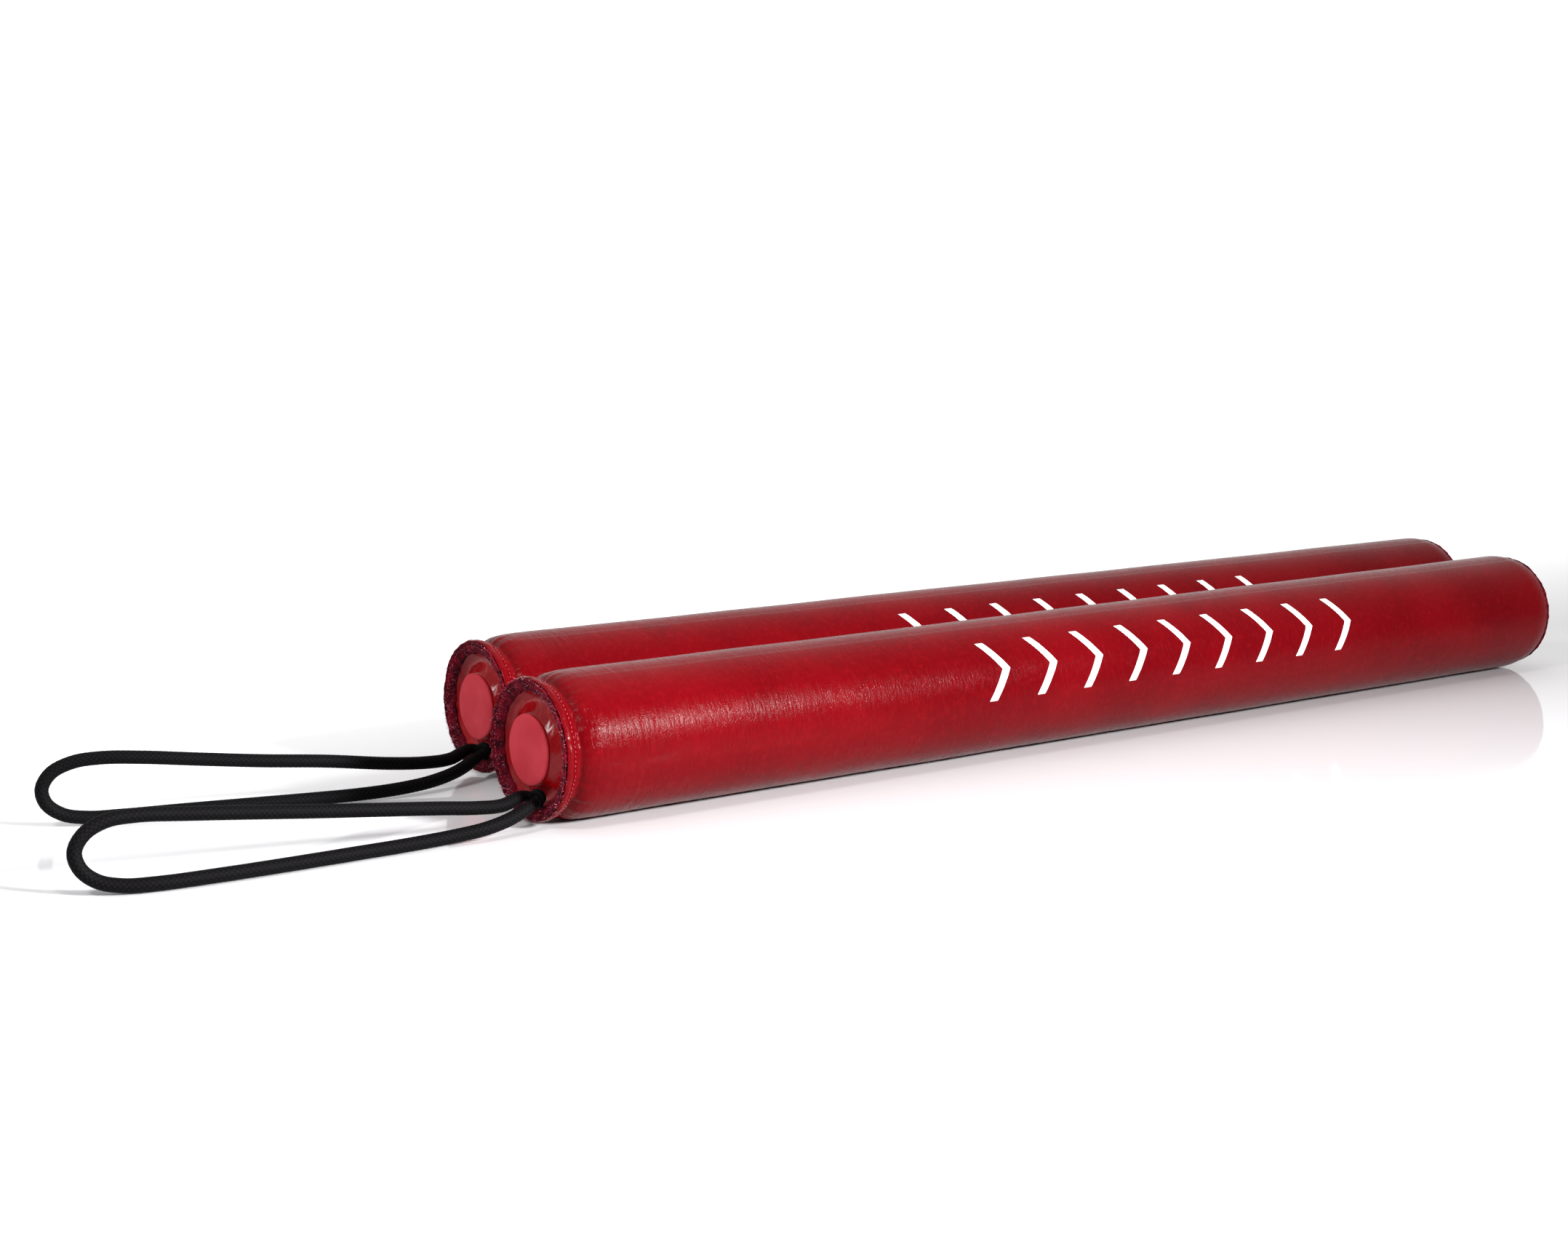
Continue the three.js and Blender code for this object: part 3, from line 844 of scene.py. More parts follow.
@dataclass
class WristLoop:
    """A loop of braided cord that leaves the knot in the cap and comes back to it."""

    place: StickPlace
    wardrobe: Wardrobe
    diameter: float = 5.0 * MM
    carriers: int = 16
    pitch: float = 15.0 * MM
    relief: float = 0.045
    step: float = 0.45 * MM
    sides: int = 64
    root_radius: float = 1.9 * MM
    knot_place: tuple[float, float, float] = (-0.4 * MM, -7.4 * MM, 11.3 * MM)
    knot_reach: float = 2.3 * MM
    knot_strand: float = 1.6 * MM

    def build(self) -> None:
        """Build the cord and its knot, and dress them."""
        self.build_cord()
        self.build_knot()

    def braid_relief(self, run: np.ndarray, angles: np.ndarray) -> np.ndarray:
        """Share of the radius that the yarns add: relief * (root of |sin| left times |sin| right - 0.6).

        Each hand's phase is carriers / 4 * angle plus or minus pi * carriers * run / (2 * pitch).
        """
        along = math.pi * self.carriers / (2.0 * self.pitch) * run[:, None]
        around = self.carriers / 4.0 * angles[None, :]
        crossing = np.abs(np.sin(around + along) * np.sin(around - along))
        return self.relief * (np.sqrt(crossing) - 0.6)

    def build_cord(self) -> bpy.types.Object:
        """Carry the braided section along the route, thinner where both ends squeeze into the knot.

        Returns:
            The cord.
        """
        route = self.place.floor_point(np.array(LOOP_ROUTES[self.place.side]) * MM)
        path = smooth_route(route, self.step)
        run = np.concatenate([[0.0], np.cumsum(np.linalg.norm(np.diff(path, axis=0), axis=1))])
        length = float(run[-1])
        edge = np.minimum(run, length - run)
        radius = self.root_radius + (self.diameter / 2 - self.root_radius) * smooth_step(
            edge, 0.0, 9.0 * MM
        )
        angles = np.linspace(0.0, TURN, self.sides, endpoint=False)
        skin = tube_points(path, radius, angles, self.braid_relief(run, angles))
        first, last = path[:1, None].repeat(self.sides, 1), path[-1:, None].repeat(self.sides, 1)
        points = np.concatenate([first, skin, last])
        runs = np.concatenate([[0.0], run, [length]])
        turns = np.linspace(0.0, TURN, self.sides + 1)
        uv = np.stack(np.broadcast_arrays(runs[:, None], turns[None, :]), -1)
        cord = grid_object(self.place.name("loop_cord"), points, uv)
        cord.data.materials.append(self.wardrobe.cord)
        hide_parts(self.place.name("wrist_loop"))
        start = self.place.floor_point(np.array((-4.0 * MM, -7.4 * MM, 11.3 * MM)))
        end = self.place.floor_point(np.array((-28.0 * MM, -7.4 * MM, 11.3 * MM)))
        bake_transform(cord)
        LOG.info("%s: %.1f mm long, %d faces", cord.name, length / MM, len(cord.data.polygons))
        return cord

    def build_knot(self) -> bpy.types.Object:
        """Tie the knot: a closed strand along (2 + cos 3t)(cos 2t, sin 2t) and sin 3t, pulled into a ball.

        Returns:
            The knot.
        """
        t = np.linspace(0.0, TURN, 220, endpoint=False)
        reach = 2.0 + np.cos(3.0 * t)
        local = np.stack([np.sin(3.0 * t) * 1.15, reach * np.cos(2.0 * t), reach * np.sin(2.0 * t)], -1)
        local *= self.knot_reach / 3.0
        path = self.place.floor_point(np.array(self.knot_place) + local)
        angles = np.linspace(0.0, TURN, 24, endpoint=False)
        tangents = np.roll(path, -1, 0) - np.roll(path, 1, 0)
        tangents /= np.linalg.norm(tangents, axis=1, keepdims=True)
        centre = path.mean(axis=0)
        outward = path - centre
        outward -= tangents * np.einsum("ij,ij->i", outward, tangents)[:, None]
        outward /= np.linalg.norm(outward, axis=1, keepdims=True)
        beside = np.cross(tangents, outward)
        run = np.arange(len(t)) * 0.12 * MM
        swell = 1.0 + self.braid_relief(run, angles)
        circle = np.cos(angles)[None, :, None] * outward[:, None] + np.sin(angles)[
            None, :, None
        ] * beside[:, None]
        points = path[:, None] + self.knot_strand * swell[..., None] * circle
        runs = np.arange(len(t) + 1) * 0.12 * MM
        uv = np.stack(np.broadcast_arrays(runs[:, None], np.linspace(0.0, TURN, 25)[None, :]), -1)
        knot = grid_object(self.place.name("loop_knot"), points, uv, wrap_rows=True)
        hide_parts(self.place.name("cord_knot"))
        return self.place.dress(knot, self.wardrobe.cord, "cord")


# -------------------------------------------------------------------------------------------------------
# Sticks
# -------------------------------------------------------------------------------------------------------


def profile_line(points: list[tuple[float, float]], step: float) -> np.ndarray:
    """A smooth profile through (along, radius) points in millimetres, sampled evenly, in metres."""
    flat = np.array([(along, radius, 0.0) for along, radius in points]) * MM
    return smooth_route(flat, step)[:, :2]


def stitch_rows(
    place: StickPlace, loops: np.ndarray, thickness: float, sides: int = 6
) -> tuple[np.ndarray, np.ndarray]:
    """Carry a round thread along many short paths at once.

    Each section is a circle of the thread's radius in the plane square to the path, shrunk to a point at both
    ends: path + radius * (cos(angle) * side + sin(angle) * top).

    Args:
        place: The stick they are sewn on, whose directions square the sections.
        loops: Paths, of shape (stitches, points, 3), in the row frame.
        thickness: The thread's diameter.
        sides: Sides of its section.

    Returns:
        Points and faces, for mesh_object.
    """
    count, steps = loops.shape[:2]
    tangents = np.gradient(loops, axis=1)
    tangents /= np.linalg.norm(tangents, axis=2, keepdims=True)
    middles = loops.mean(axis=1, keepdims=True)
    radial = middles - place.seam
    radial = radial - np.einsum("ijk,k->ij", radial, place.along)[..., None] * place.along
    radial = radial / np.linalg.norm(radial, axis=2, keepdims=True)
    side = np.cross(tangents, radial + 0.13 * place.along)
    side /= np.linalg.norm(side, axis=2, keepdims=True)
    top = np.cross(side, tangents)
    angles = np.linspace(0.0, TURN, sides, endpoint=False)
    share = np.full(steps, 1.0)
    share[0] = share[-1] = 0.0
    share[1] = share[-2] = 0.8
    circle = np.cos(angles)[:, None] * side[:, :, None] + np.sin(angles)[:, None] * top[:, :, None]
    points = loops[:, :, None] + thickness / 2 * share[:, None, None] * circle
    r, c = np.meshgrid(np.arange(steps - 1), np.arange(sides), indexing="ij")
    quad = np.stack(
        [
            r * sides + c,
            r * sides + (c + 1) % sides,
            (r + 1) * sides + (c + 1) % sides,
            (r + 1) * sides + c,
        ],
        -1,
    )
    faces = quad.reshape(-1, 4)[None] + (np.arange(count) * steps * sides)[:, None, None]
    return points.reshape(-1, 3), faces.reshape(-1, 4)


def outward_mesh(name: str, points: np.ndarray, faces: np.ndarray) -> bpy.types.Object:
    """Make a mesh object of closed shells, turned round if their volume is negative."""
    a, b, c, d = (points[faces[:, i]] for i in range(4))
    volume = np.einsum("ij,ij->i", a, np.cross(b, c)).sum() + np.einsum("ij,ij->i", a, np.cross(c, d)).sum()
    return mesh_object(name, points, faces[:, ::-1] if volume < 0.0 else faces)


@dataclass
class Cover:
    """The tight leather tube: a lip sewn to the cap, a gathered neck, a straight body and a far edge."""

    place: StickPlace
    wardrobe: Wardrobe
    wall: float = 1.6 * MM
    lip_start: float = 0.8 * MM
    neck_radius: float = 24.2 * MM
    neck: float = 8.0 * MM
    shoulder: float = 3.1 * MM
    tip_seam: float = 576.0 * MM
    rounding: float = 15.0 * MM
    tip_radius: float = 21.35 * MM
    pleats: float = 0.36 * MM
    waviness: float = 0.2 * MM
    puckers: float = 0.28 * MM
    lap_angle: float = math.radians(198.0)
    lap_depth: float = 0.5 * MM
    columns: int = 220

    @property
    def seed(self) -> int:
        """Seed of this cover's folds."""
        return 11 if self.place.side is Side.FRONT else 29

    def body_radius(self, along: np.ndarray) -> np.ndarray:
        """Radius without folds: from the neck it rises by depth * (1 - exp(-distance / shoulder))."""
        depth = self.place.radius - self.neck_radius
        rise = 1.0 - np.exp(-np.maximum(along - self.neck, 0.0) / self.shoulder)
        return self.neck_radius + depth * rise

    def profile(self) -> tuple[np.ndarray, np.ndarray]:
        """Outer and inner profile, each from the lip to the far edge, as (along, radius) rows.

        Returns:
            The outer and the inner profile, of one length.
        """
        lip = profile_line(
            [
                (0.9, 26.15), (1.1, 26.5), (2.1, 26.85), (3.4, 26.6), (4.5, 25.6), (5.5, 24.75), (6.8, 24.3),
                (8.0, 24.2),
            ],
            0.35 * MM,
        )
        near = np.linspace(self.neck, 40.0 * MM, 64)[1:]
        far = np.linspace(40.0 * MM, self.tip_seam - self.rounding, 236)[1:]
        straight = np.concatenate([near, far])
        turn = np.linspace(0.0, math.pi / 2, 22)[1:]
        depth = self.place.radius - self.tip_radius
        tip = np.stack(
            [
                self.tip_seam - self.rounding + self.rounding * np.sin(turn),
                self.tip_radius + depth * np.cos(turn),
            ],
            -1,
        )
        outer = np.vstack([lip, np.stack([straight, self.body_radius(straight)], -1), tip])
        slope = np.gradient(outer, axis=0)
        slope /= np.linalg.norm(slope, axis=1, keepdims=True)
        inner = outer + self.wall * np.stack([slope[:, 1], -slope[:, 0]], -1)
        inner[:, 1] = np.maximum(inner[:, 1], 19.7 * MM)
        inner[: len(lip), 0] = np.maximum(inner[: len(lip), 0], self.lip_start)
        return outer, inner

    def folds(self, along: np.ndarray, angle: np.ndarray) -> np.ndarray:
        """How far the surface stands off its plain radius, in metres.

        Pleats at the neck are a wandering line round the stick, fading as a bell along it and drawn out up
        the shoulder. The body has slow waves, mostly inwards. The far edge has close puckers. The lap seam
        is a step that eases back over a tenth of a turn.
        """
        gathers = wander(angle, self.seed, (9, 14, 19, 23, 31))
        gathers = gathers + 0.5 * wander(angle, self.seed + 1, (37, 45, 53))
        neck = self.pleats * gathers * bell(along, 9.5 * MM, 4.5 * MM)
        lip = 0.3 * MM * wander(angle, self.seed + 5, (7, 13, 22, 34)) * bell(along, 3.0 * MM, 2.2 * MM)
        drawn = 0.14 * MM * wander(angle, self.seed + 2, (5, 9, 13)) * bell(along, 18.0 * MM, 10.0 * MM)
        slow = wander(along * 40.0 + 2.0 * np.cos(angle), self.seed + 3, (0.6, 1.0, 1.7, 2.6))
        turns = wander(angle + along * 3.0, self.seed + 4, (2, 3, 5))
        body = self.waviness * (0.7 * slow + 0.6 * turns - 0.5) * smooth_step(along, 0.02, 0.06)
        rings = 0.05 * MM * wander(along * 1000.0, self.seed + 6, (0.9, 1.4, 2.1)) * bell(along, 0.05, 0.12)
        close = wander(angle, self.seed + 7, (29, 38, 47, 61))
        tip = self.puckers * close * bell(along, self.tip_seam - 1.5 * MM, 4.5 * MM)
        away = wrapped(angle, self.lap_angle)
        step = np.where(away > 0.0, np.exp(-away / 0.10), 0.0) - 0.35 * bell(away, -0.012, 0.02)
        ends = smooth_step(along, 0.006, 0.02) * (1.0 - smooth_step(along, 0.570, 0.576))
        lap = self.lap_depth * (step - 0.5 * (away > 0)) * ends * 0.6
        return neck + lip + drawn + body + rings + tip + lap

    def surface(self, along: np.ndarray, angle: np.ndarray, lift: float = 0.0) -> np.ndarray:
        """Points on the cover's outside, at places along it and angles round it, lifted off by a height."""
        radius = self.body_radius(along) + self.folds(along, angle) + lift
        points = self.place.round_point(along, angle, radius)
        above_floor(points, 0.05 * MM)
        return points

    def build(self) -> bpy.types.Object:
        """Returns:
            The cover.
        """
        outer, inner = self.profile()
        thin = np.unique(
            np.concatenate([np.arange(0, 40), np.linspace(40, len(inner) - 1, 60).astype(int)])
        )
        rows = np.vstack([outer, inner[thin][::-1]])
        angles = np.linspace(0.0, TURN, self.columns, endpoint=False)
        along, radius = rows[:, :1], rows[:, 1:]
        stand = self.folds(along, angles[None, :])
        ragged = wander(angles[None, :], self.seed + 8, (11, 19, 28, 41))
        edge = 0.2 * MM * ragged * bell(along, 1.6 * MM, 0.9 * MM)
        points = self.place.round_point(along + edge, angles[None, :], radius + stand)
        floor = np.where(np.arange(len(rows)) < len(outer), 0.05 * MM, self.wall)[:, None]
        above_floor(points, floor)
        turns = np.linspace(0.0, TURN, self.columns + 1) * self.place.radius
        uv = np.stack(np.broadcast_arrays(np.append(rows[:, 0], rows[0, 0])[:, None], turns[None, :]), -1)
        cover = grid_object(self.place.name("cover_leather"), points, uv, wrap_rows=True)
        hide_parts(self.place.name("cover"))
        self.place.dress(cover, self.wardrobe.leather, "red_leather")
        return cover

    def build_lap_stitches(self, pitch: float = 3.6 * MM, thickness: float = 0.55 * MM) -> bpy.types.Object:
        """Sew the lap seam: one stitch each pitch beside its step, rising as half a sine over the leather."""
        starts = np.arange(16.0 * MM, 563.0 * MM, pitch)
        share = np.linspace(0.0, 1.0, 7)
        along = starts[:, None] + share[None, :] * pitch * 0.72
        angle = np.full_like(along, self.lap_angle + 0.055)
        points = self.surface(along, angle)
        centre = self.place.box_point(np.stack([along, 0 * along, 0 * along], -1))
        outward = points - centre
        outward /= np.linalg.norm(outward, axis=2, keepdims=True)
        loops = points + outward * (thickness * 0.55 * np.sin(math.pi * share) - 0.15 * MM)[None, :, None]
        above_floor(loops, thickness / 2)
        corners, faces = stitch_rows(self.place, loops, thickness)
        seam = outward_mesh(self.place.name("lap_stitches"), corners, faces)
        return self.place.dress(seam, self.wardrobe.thread, "thread")


@dataclass
class WristEnd:
    """The dished wrist end: a glossy cap, its raw seam allowance, a matt disc, stitches and loose fibres."""

    place: StickPlace
    wardrobe: Wardrobe
    columns: int = 256
    stitches: int = 92
    fibres: int = 900

    @property
    def seed(self) -> int:
        """Seed of this end's raggedness."""
        return 101 if self.place.side is Side.FRONT else 131

    def build(self) -> None:
        """Build every piece of the wrist end."""
        self.build_cap()
        self.build_allowance()
        self.build_disc()
        self.build_stitches()
        self.build_fibres()

    def turned_piece(
        self, name: str, profile: np.ndarray, shift: ProfileShift, closed: bool
    ) -> bpy.types.Object:
        """Turn a profile round the axis, with a shift of (along, radius) for each point.

        Args:
            name: The piece's name.
            profile: (along, radius) rows. A closed one joins its last row to its first.
            shift: Gives the change of along and of radius from (rows' profile, angles).
            closed: Whether the profile is closed. An open one starts and ends on the axis.

        Returns:
            The object.
        """
        angles = np.linspace(0.0, TURN, self.columns, endpoint=False)
        along, radius = shift(profile, angles)
        points = self.place.round_point(profile[:, :1] + along, angles[None, :], profile[:, 1:] + radius)
        above_floor(points, 0.15 * MM)
        run = np.concatenate([[0.0], np.cumsum(np.linalg.norm(np.diff(profile, axis=0), axis=1))])
        turns = np.linspace(0.0, TURN, self.columns + 1) * self.place.radius
        rows = np.append(run, run[-1]) if closed else run
        uv = np.stack(np.broadcast_arrays(rows[:, None] + 0.6, turns[None, :]), -1)
        return grid_object(name, points, uv, wrap_rows=closed)

    def build_cap(self) -> bpy.types.Object:
        """Turn the cap: a flat boss, a rounded step down to the valley, and a slope under the allowance."""
        front = profile_line(
            [
                (1.45, 0), (1.45, 6), (1.45, 12.6), (1.7, 13.4), (2.6, 14.2), (3.7, 15.2), (4.7, 16.4),
                (5.3, 17.6), (5.2, 18.8), (4.6, 19.9), (3.7, 20.9), (2.8, 21.9), (2.2, 22.6),
            ],
            0.3 * MM,
        )
        back = profile_line(
            [
                (3.2, 23.0), (4.7, 21.4), (5.9, 20.3), (6.7, 19.0), (6.8, 17.4), (6.1, 15.6), (4.9, 14.1),
                (3.5, 12.7), (3.0, 11.5), (3.0, 0),
            ],
            0.8 * MM,
        )
        profile = np.vstack([front, back])

        def shift(rows: np.ndarray, angles: np.ndarray) -> tuple[np.ndarray, np.ndarray]:
            """Soft dents in the valley, and folds where the leather is drawn down by the knot."""
            along, radius = rows[:, :1], rows[:, 1:]
            low = wrapped(angles[None, :], math.pi)
            slope = bell(radius, 16.5 * MM, 3.0 * MM)
            dents = 0.28 * MM * wander(angles[None, :], self.seed, (3, 5, 8, 13)) * slope
            fine = wander(angles[None, :] + radius * 90.0, self.seed + 1, (17, 26, 34))
            wrinkles = 0.14 * MM * fine * slope
            drawn = 0.5 * MM * bell(low, 0.0, 0.3) * bell(radius, 17.5 * MM, 2.5 * MM)
            return dents + wrinkles + drawn, 0.0 * along + 0.0 * low

        cap = self.turned_piece(self.place.name("cap_leather"), profile, shift, closed=False)
        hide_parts(self.place.name("wrist_cap"))
        return self.place.dress(cap, self.wardrobe.cap, "red_leather")

    def build_allowance(self) -> bpy.types.Object:
        """Turn the raw seam allowance: the flaring edge of the cap, thick, napped and unevenly cut."""
        profile = profile_line(
            [
                (2.75, 21.1), (2.2, 21.5), (1.5, 22.5), (0.85, 23.8), (0.2, 25.2), (-0.1, 25.9), (0.02, 26.2),
                (0.35, 26.3), (0.7, 26.1), (0.95, 25.4), (1.4, 24.4), (2.0, 23.2), (2.7, 22.1), (3.1, 21.5),
                (2.75, 21.1),
            ],
            0.26 * MM,
        )[:-1]

        def shift(rows: np.ndarray, angles: np.ndarray) -> tuple[np.ndarray, np.ndarray]:
            """The rim wanders in and out, and the nap is rough on the flare and the edge."""
            radius = rows[:, 1:]
            turn = angles[None, :]
            edge = smooth_step(radius, 23.5 * MM, 26.4 * MM)
            cut = 0.35 * MM * wander(turn, self.seed + 2, (5, 9, 14, 21, 33, 47)) * edge
            waves = 0.35 * MM * wander(turn, self.seed + 3, (4, 7, 11, 17, 25)) * edge
            rough = np.random.default_rng(self.seed + 4).normal(0.0, 0.11 * MM, (len(rows), len(angles)))
            inside = 1.0 - smooth_step(radius, 21.2 * MM, 22.4 * MM)
            inner = 0.5 * MM * wander(turn, self.seed + 6, (8, 15, 23, 31)) * inside
            return waves + rough, cut - 0.25 * MM * edge + 0.6 * rough + inner

        ring = self.turned_piece(self.place.name("seam_allowance"), profile, shift, closed=True)
        return self.place.dress(ring, self.wardrobe.suede, "matt_leather")

    def build_disc(self) -> bpy.types.Object:
        """Turn the matt disc: a flat face that dips by a few hundredths, with a rounded cut edge."""
        profile = profile_line(
            [
                (0.05, 0), (0.03, 4), (0.0, 8), (0.0, 12.0), (0.12, 12.9), (0.45, 13.35), (0.95, 13.4),
                (1.3, 13.2), (1.35, 12.4), (1.35, 0),
            ],
            0.25 * MM,
        )

        def shift(rows: np.ndarray, angles: np.ndarray) -> tuple[np.ndarray, np.ndarray]:
            """An edge cut by hand: not quite round, and a face that isn't quite flat."""
            along, radius = rows[:, :1], rows[:, 1:]
            turn = angles[None, :]
            edge = smooth_step(radius, 9.0 * MM, 12.5 * MM)
            cut = 0.16 * MM * wander(turn, self.seed + 7, (2, 3, 5, 9)) * edge
            face = 0.1 * MM * wander(turn, self.seed + 8, (2, 3, 4)) * radius / (13.0 * MM)
            return face + 0.05 * MM, cut + 0.0 * along

        disc = self.turned_piece(self.place.name("disc_leather"), profile, shift, closed=False)
        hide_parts(self.place.name("wrist_disc"))
        return self.place.dress(disc, self.wardrobe.disc, "matt_leather")

    def build_stitches(self, thickness: float = 0.45 * MM) -> bpy.types.Object:
        """Sew the rim through: one row of short stitches on the flare and one behind it on the lip.

        A stitch is an arch: it spans a share of the pitch round the stick and stands off as half a sine.
        """
        number = np.arange(self.stitches)
        share = np.linspace(0.0, 1.0, 7)
        rows = []
        for along, radius, lean in ((0.75 * MM, 24.2 * MM, -1.0), (4.35 * MM, 26.1 * MM, 1.0)):
            uneven = wander(number * 1.7, self.seed + 10, (1.0, 2.3, 3.1))[:, None]
            angle = (number[:, None] + 0.55 * share[None, :] + 0.12 * uneven) * TURN / self.stitches
            lift = thickness * (0.6 * np.sin(math.pi * share) - 0.25)[None, :] + 0.0 * angle
            place = self.place.round_point(
                along + lean * 0.7 * lift + 0.2 * MM * uneven, angle, radius + 0.7 * lift + 0.1 * MM * uneven
            )
            rows.append(above_floor(place, 0.35 * MM))
        points, faces = stitch_rows(self.place, np.concatenate(rows), thickness)
        stitches = outward_mesh(self.place.name("wrist_stitches"), points, faces)
        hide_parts(self.place.name("wrist_seam_thread"))
        return self.place.dress(stitches, self.wardrobe.thread, "thread")

    def build_fibres(self) -> bpy.types.Object:
        """Scatter loose fibres over the flare and the rim: needles of three sides that bend by their tip."""
        rng = np.random.default_rng(self.seed + 11)
        count = self.fibres
        turn = np.where(
            rng.uniform(0.0, 1.0, count) < 0.55, rng.uniform(0.0, TURN, count), rng.normal(3.9, 0.5, count)
        )
        line = profile_line(
            [(2.6, 21.3), (1.5, 22.5), (0.85, 23.8), (0.2, 25.2), (0.15, 26.5), (1.3, 26.7)], 0.05 * MM
        )
        spot = line[(rng.beta(1.4, 1.0, count) * (len(line) - 1)).astype(int)]
        root = self.place.round_point(spot[:, 0], turn, spot[:, 1] - 0.2 * MM)
        length = rng.uniform(0.4, 1.1, count)[:, None] * MM
        outward = self.place.round_point(spot[:, 0], turn, spot[:, 1] + MM)
        radial = outward - self.place.round_point(spot[:, 0], turn, spot[:, 1])
        radial /= np.linalg.norm(radial, axis=1, keepdims=True)
        aim = rng.normal(0.0, 0.75, (count, 3)) - 0.5 * self.place.along + 0.25 * radial
        aim /= np.linalg.norm(aim, axis=1, keepdims=True)
        bend = rng.normal(0.0, 0.5, (count, 3))
        share = np.linspace(0.0, 1.0, 4)[None, :, None]
        paths = root[:, None] + length[:, None] * (share * aim[:, None] + share**2 * bend[:, None] * 0.5)
        above_floor(paths, 0.1 * MM)
        limit = self.place.radius * 2 - 0.4 * MM
        paths[..., 2] = np.minimum(paths[..., 2], limit)
        points, faces = stitch_rows(self.place, paths, 0.2 * MM, sides=3)
        fuzz = outward_mesh(self.place.name("seam_fibres"), points, faces)
        return self.place.dress(fuzz, self.wardrobe.fibre, "matt_leather")


@dataclass
class StrikingEnd:
    """The far end: a domed leather cap set into the cover, a dark ring of painted shade just before its seam,
    and a ring of stitches.
    """

    place: StickPlace
    wardrobe: Wardrobe
    seam: float = 576.0 * MM
    radius: float = 21.0 * MM
    dome: float = 9.0 * MM
    wall: float = 1.5 * MM
    shade_ring_along: float = 571.5 * MM
    shade_ring_radius: float = 25.75 * MM
    shade_ring_section: float = 0.8 * MM
    columns: int = 200
    stitches: int = 52

    def build(self) -> None:
        """Build the cap, its stitches and the dark ring of painted shade."""
        self.build_cap()
        self.build_stitches()
        self.build_shade_ring()

    def build_cap(self) -> bpy.types.Object:
        """Turn the dome: along = seam + dome * sin(t), radius = rim * cos(t), puckered at its rim."""
        t = np.linspace(0.0, math.pi / 2, 70)
        outer = np.stack([self.seam + self.dome * np.sin(t), self.radius * np.cos(t)], -1)
        outer[:, 0] -= 0.9 * MM * bell(self.radius - outer[:, 1], 0.0, 1.6 * MM)
        inner = np.stack(
            [self.seam - self.wall + self.dome * np.sin(t[::-3]), self.radius * np.cos(t[::-3])], -1
        )
        inner[-1, 1] = self.radius
        rows = np.vstack([outer[::-1], inner[::-1]])
        rows[0, 1] = rows[-1, 1] = 0.0
        angles = np.linspace(0.0, TURN, self.columns, endpoint=False)
        seed = 61 if self.place.side is Side.FRONT else 71
        near_rim = bell(self.radius - rows[:, 1:], 1.5 * MM, 3.5 * MM)
        stand = 0.3 * MM * wander(angles[None, :], seed, (23, 31, 40, 52)) * near_rim
        slack = 0.2 * MM * wander(angles[None, :] + rows[:, 1:] * 40.0, seed + 1, (2, 3, 5))
        slack = slack * smooth_step(rows[:, 1:], 2 * MM, 12 * MM)
        points = self.place.round_point(rows[:, :1] + stand + slack, angles[None, :], rows[:, 1:])
        turns = np.linspace(0.0, TURN, self.columns + 1) * self.place.radius
        run = np.concatenate([[0.0], np.cumsum(np.linalg.norm(np.diff(rows, axis=0), axis=1))])
        uv = np.stack(np.broadcast_arrays(run[:, None] + 0.6, turns[None, :]), -1)
        cap = grid_object(self.place.name("tip_leather"), points, uv)
        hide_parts(self.place.name("tip_cap"))
        return self.place.dress(cap, self.wardrobe.leather, "red_leather")

    def build_stitches(self, thickness: float = 0.6 * MM) -> bpy.types.Object:
        """Sew the cap in: short stitches across the joint, each an arch from the cover's edge to the dome."""
        turn = np.arange(self.stitches) * TURN / self.stitches
        across = profile_line(
            [(576.0, 23.0), (576.6, 22.2), (576.9, 21.5), (577.2, 20.6), (577.7, 19.6)], 0.5 * MM
        )
        share = np.linspace(0.0, 1.0, len(across))
        angle = turn[:, None] + 0.05 * share[None, :]
        radius = np.broadcast_to(across[None, :, 1], angle.shape)
        loops = self.place.round_point(np.broadcast_to(across[None, :, 0], angle.shape), angle, radius)
        points, faces = stitch_rows(self.place, loops, thickness)
        stitches = outward_mesh(self.place.name("tip_stitches"), points, faces)
        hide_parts(self.place.name("tip_seam_thread"))
        return self.place.dress(stitches, self.wardrobe.thread, "thread")

    def build_shade_ring(self) -> bpy.types.Object:
        """Lay the painted shade: a dark ring of uneven thickness, place = ring centre + thickness * unit
        circle.
        """
        columns, sides = 360, 14
        angles = np.linspace(0.0, TURN, columns, endpoint=False)
        section = np.linspace(0.0, TURN, sides, endpoint=False)
        seed = 81 if self.place.side is Side.FRONT else 91
        uneven = 1.0 + 0.2 * wander(angles, seed, (11, 23, 37, 58))[:, None]
        sway = 0.25 * MM * wander(angles, seed + 1, (3, 7, 13, 29))[:, None]
        along = self.shade_ring_along + sway + self.shade_ring_section * uneven * np.cos(section)[None, :]
        radius = self.shade_ring_radius + 0.4 * sway + self.shade_ring_section * uneven * np.sin(section)[None, :]
        points = self.place.round_point(along, angles[:, None], radius)
        above_floor(points, 0.1 * MM)
        turns = np.linspace(0.0, TURN, columns + 1) * self.shade_ring_radius
        rounds = np.linspace(0.0, TURN, sides + 1) * self.shade_ring_section
        uv = np.stack(np.broadcast_arrays(turns[:, None], rounds[None, :]), -1)
        roll = grid_object(self.place.name("tip_rolled_edge"), points, uv, wrap_rows=True)
        # Painted shade: the raw edge's dark napped finish stands in for the shade in the crease at the far
        # seam.
        return self.place.dress(roll, self.wardrobe.suede, "matt_leather")


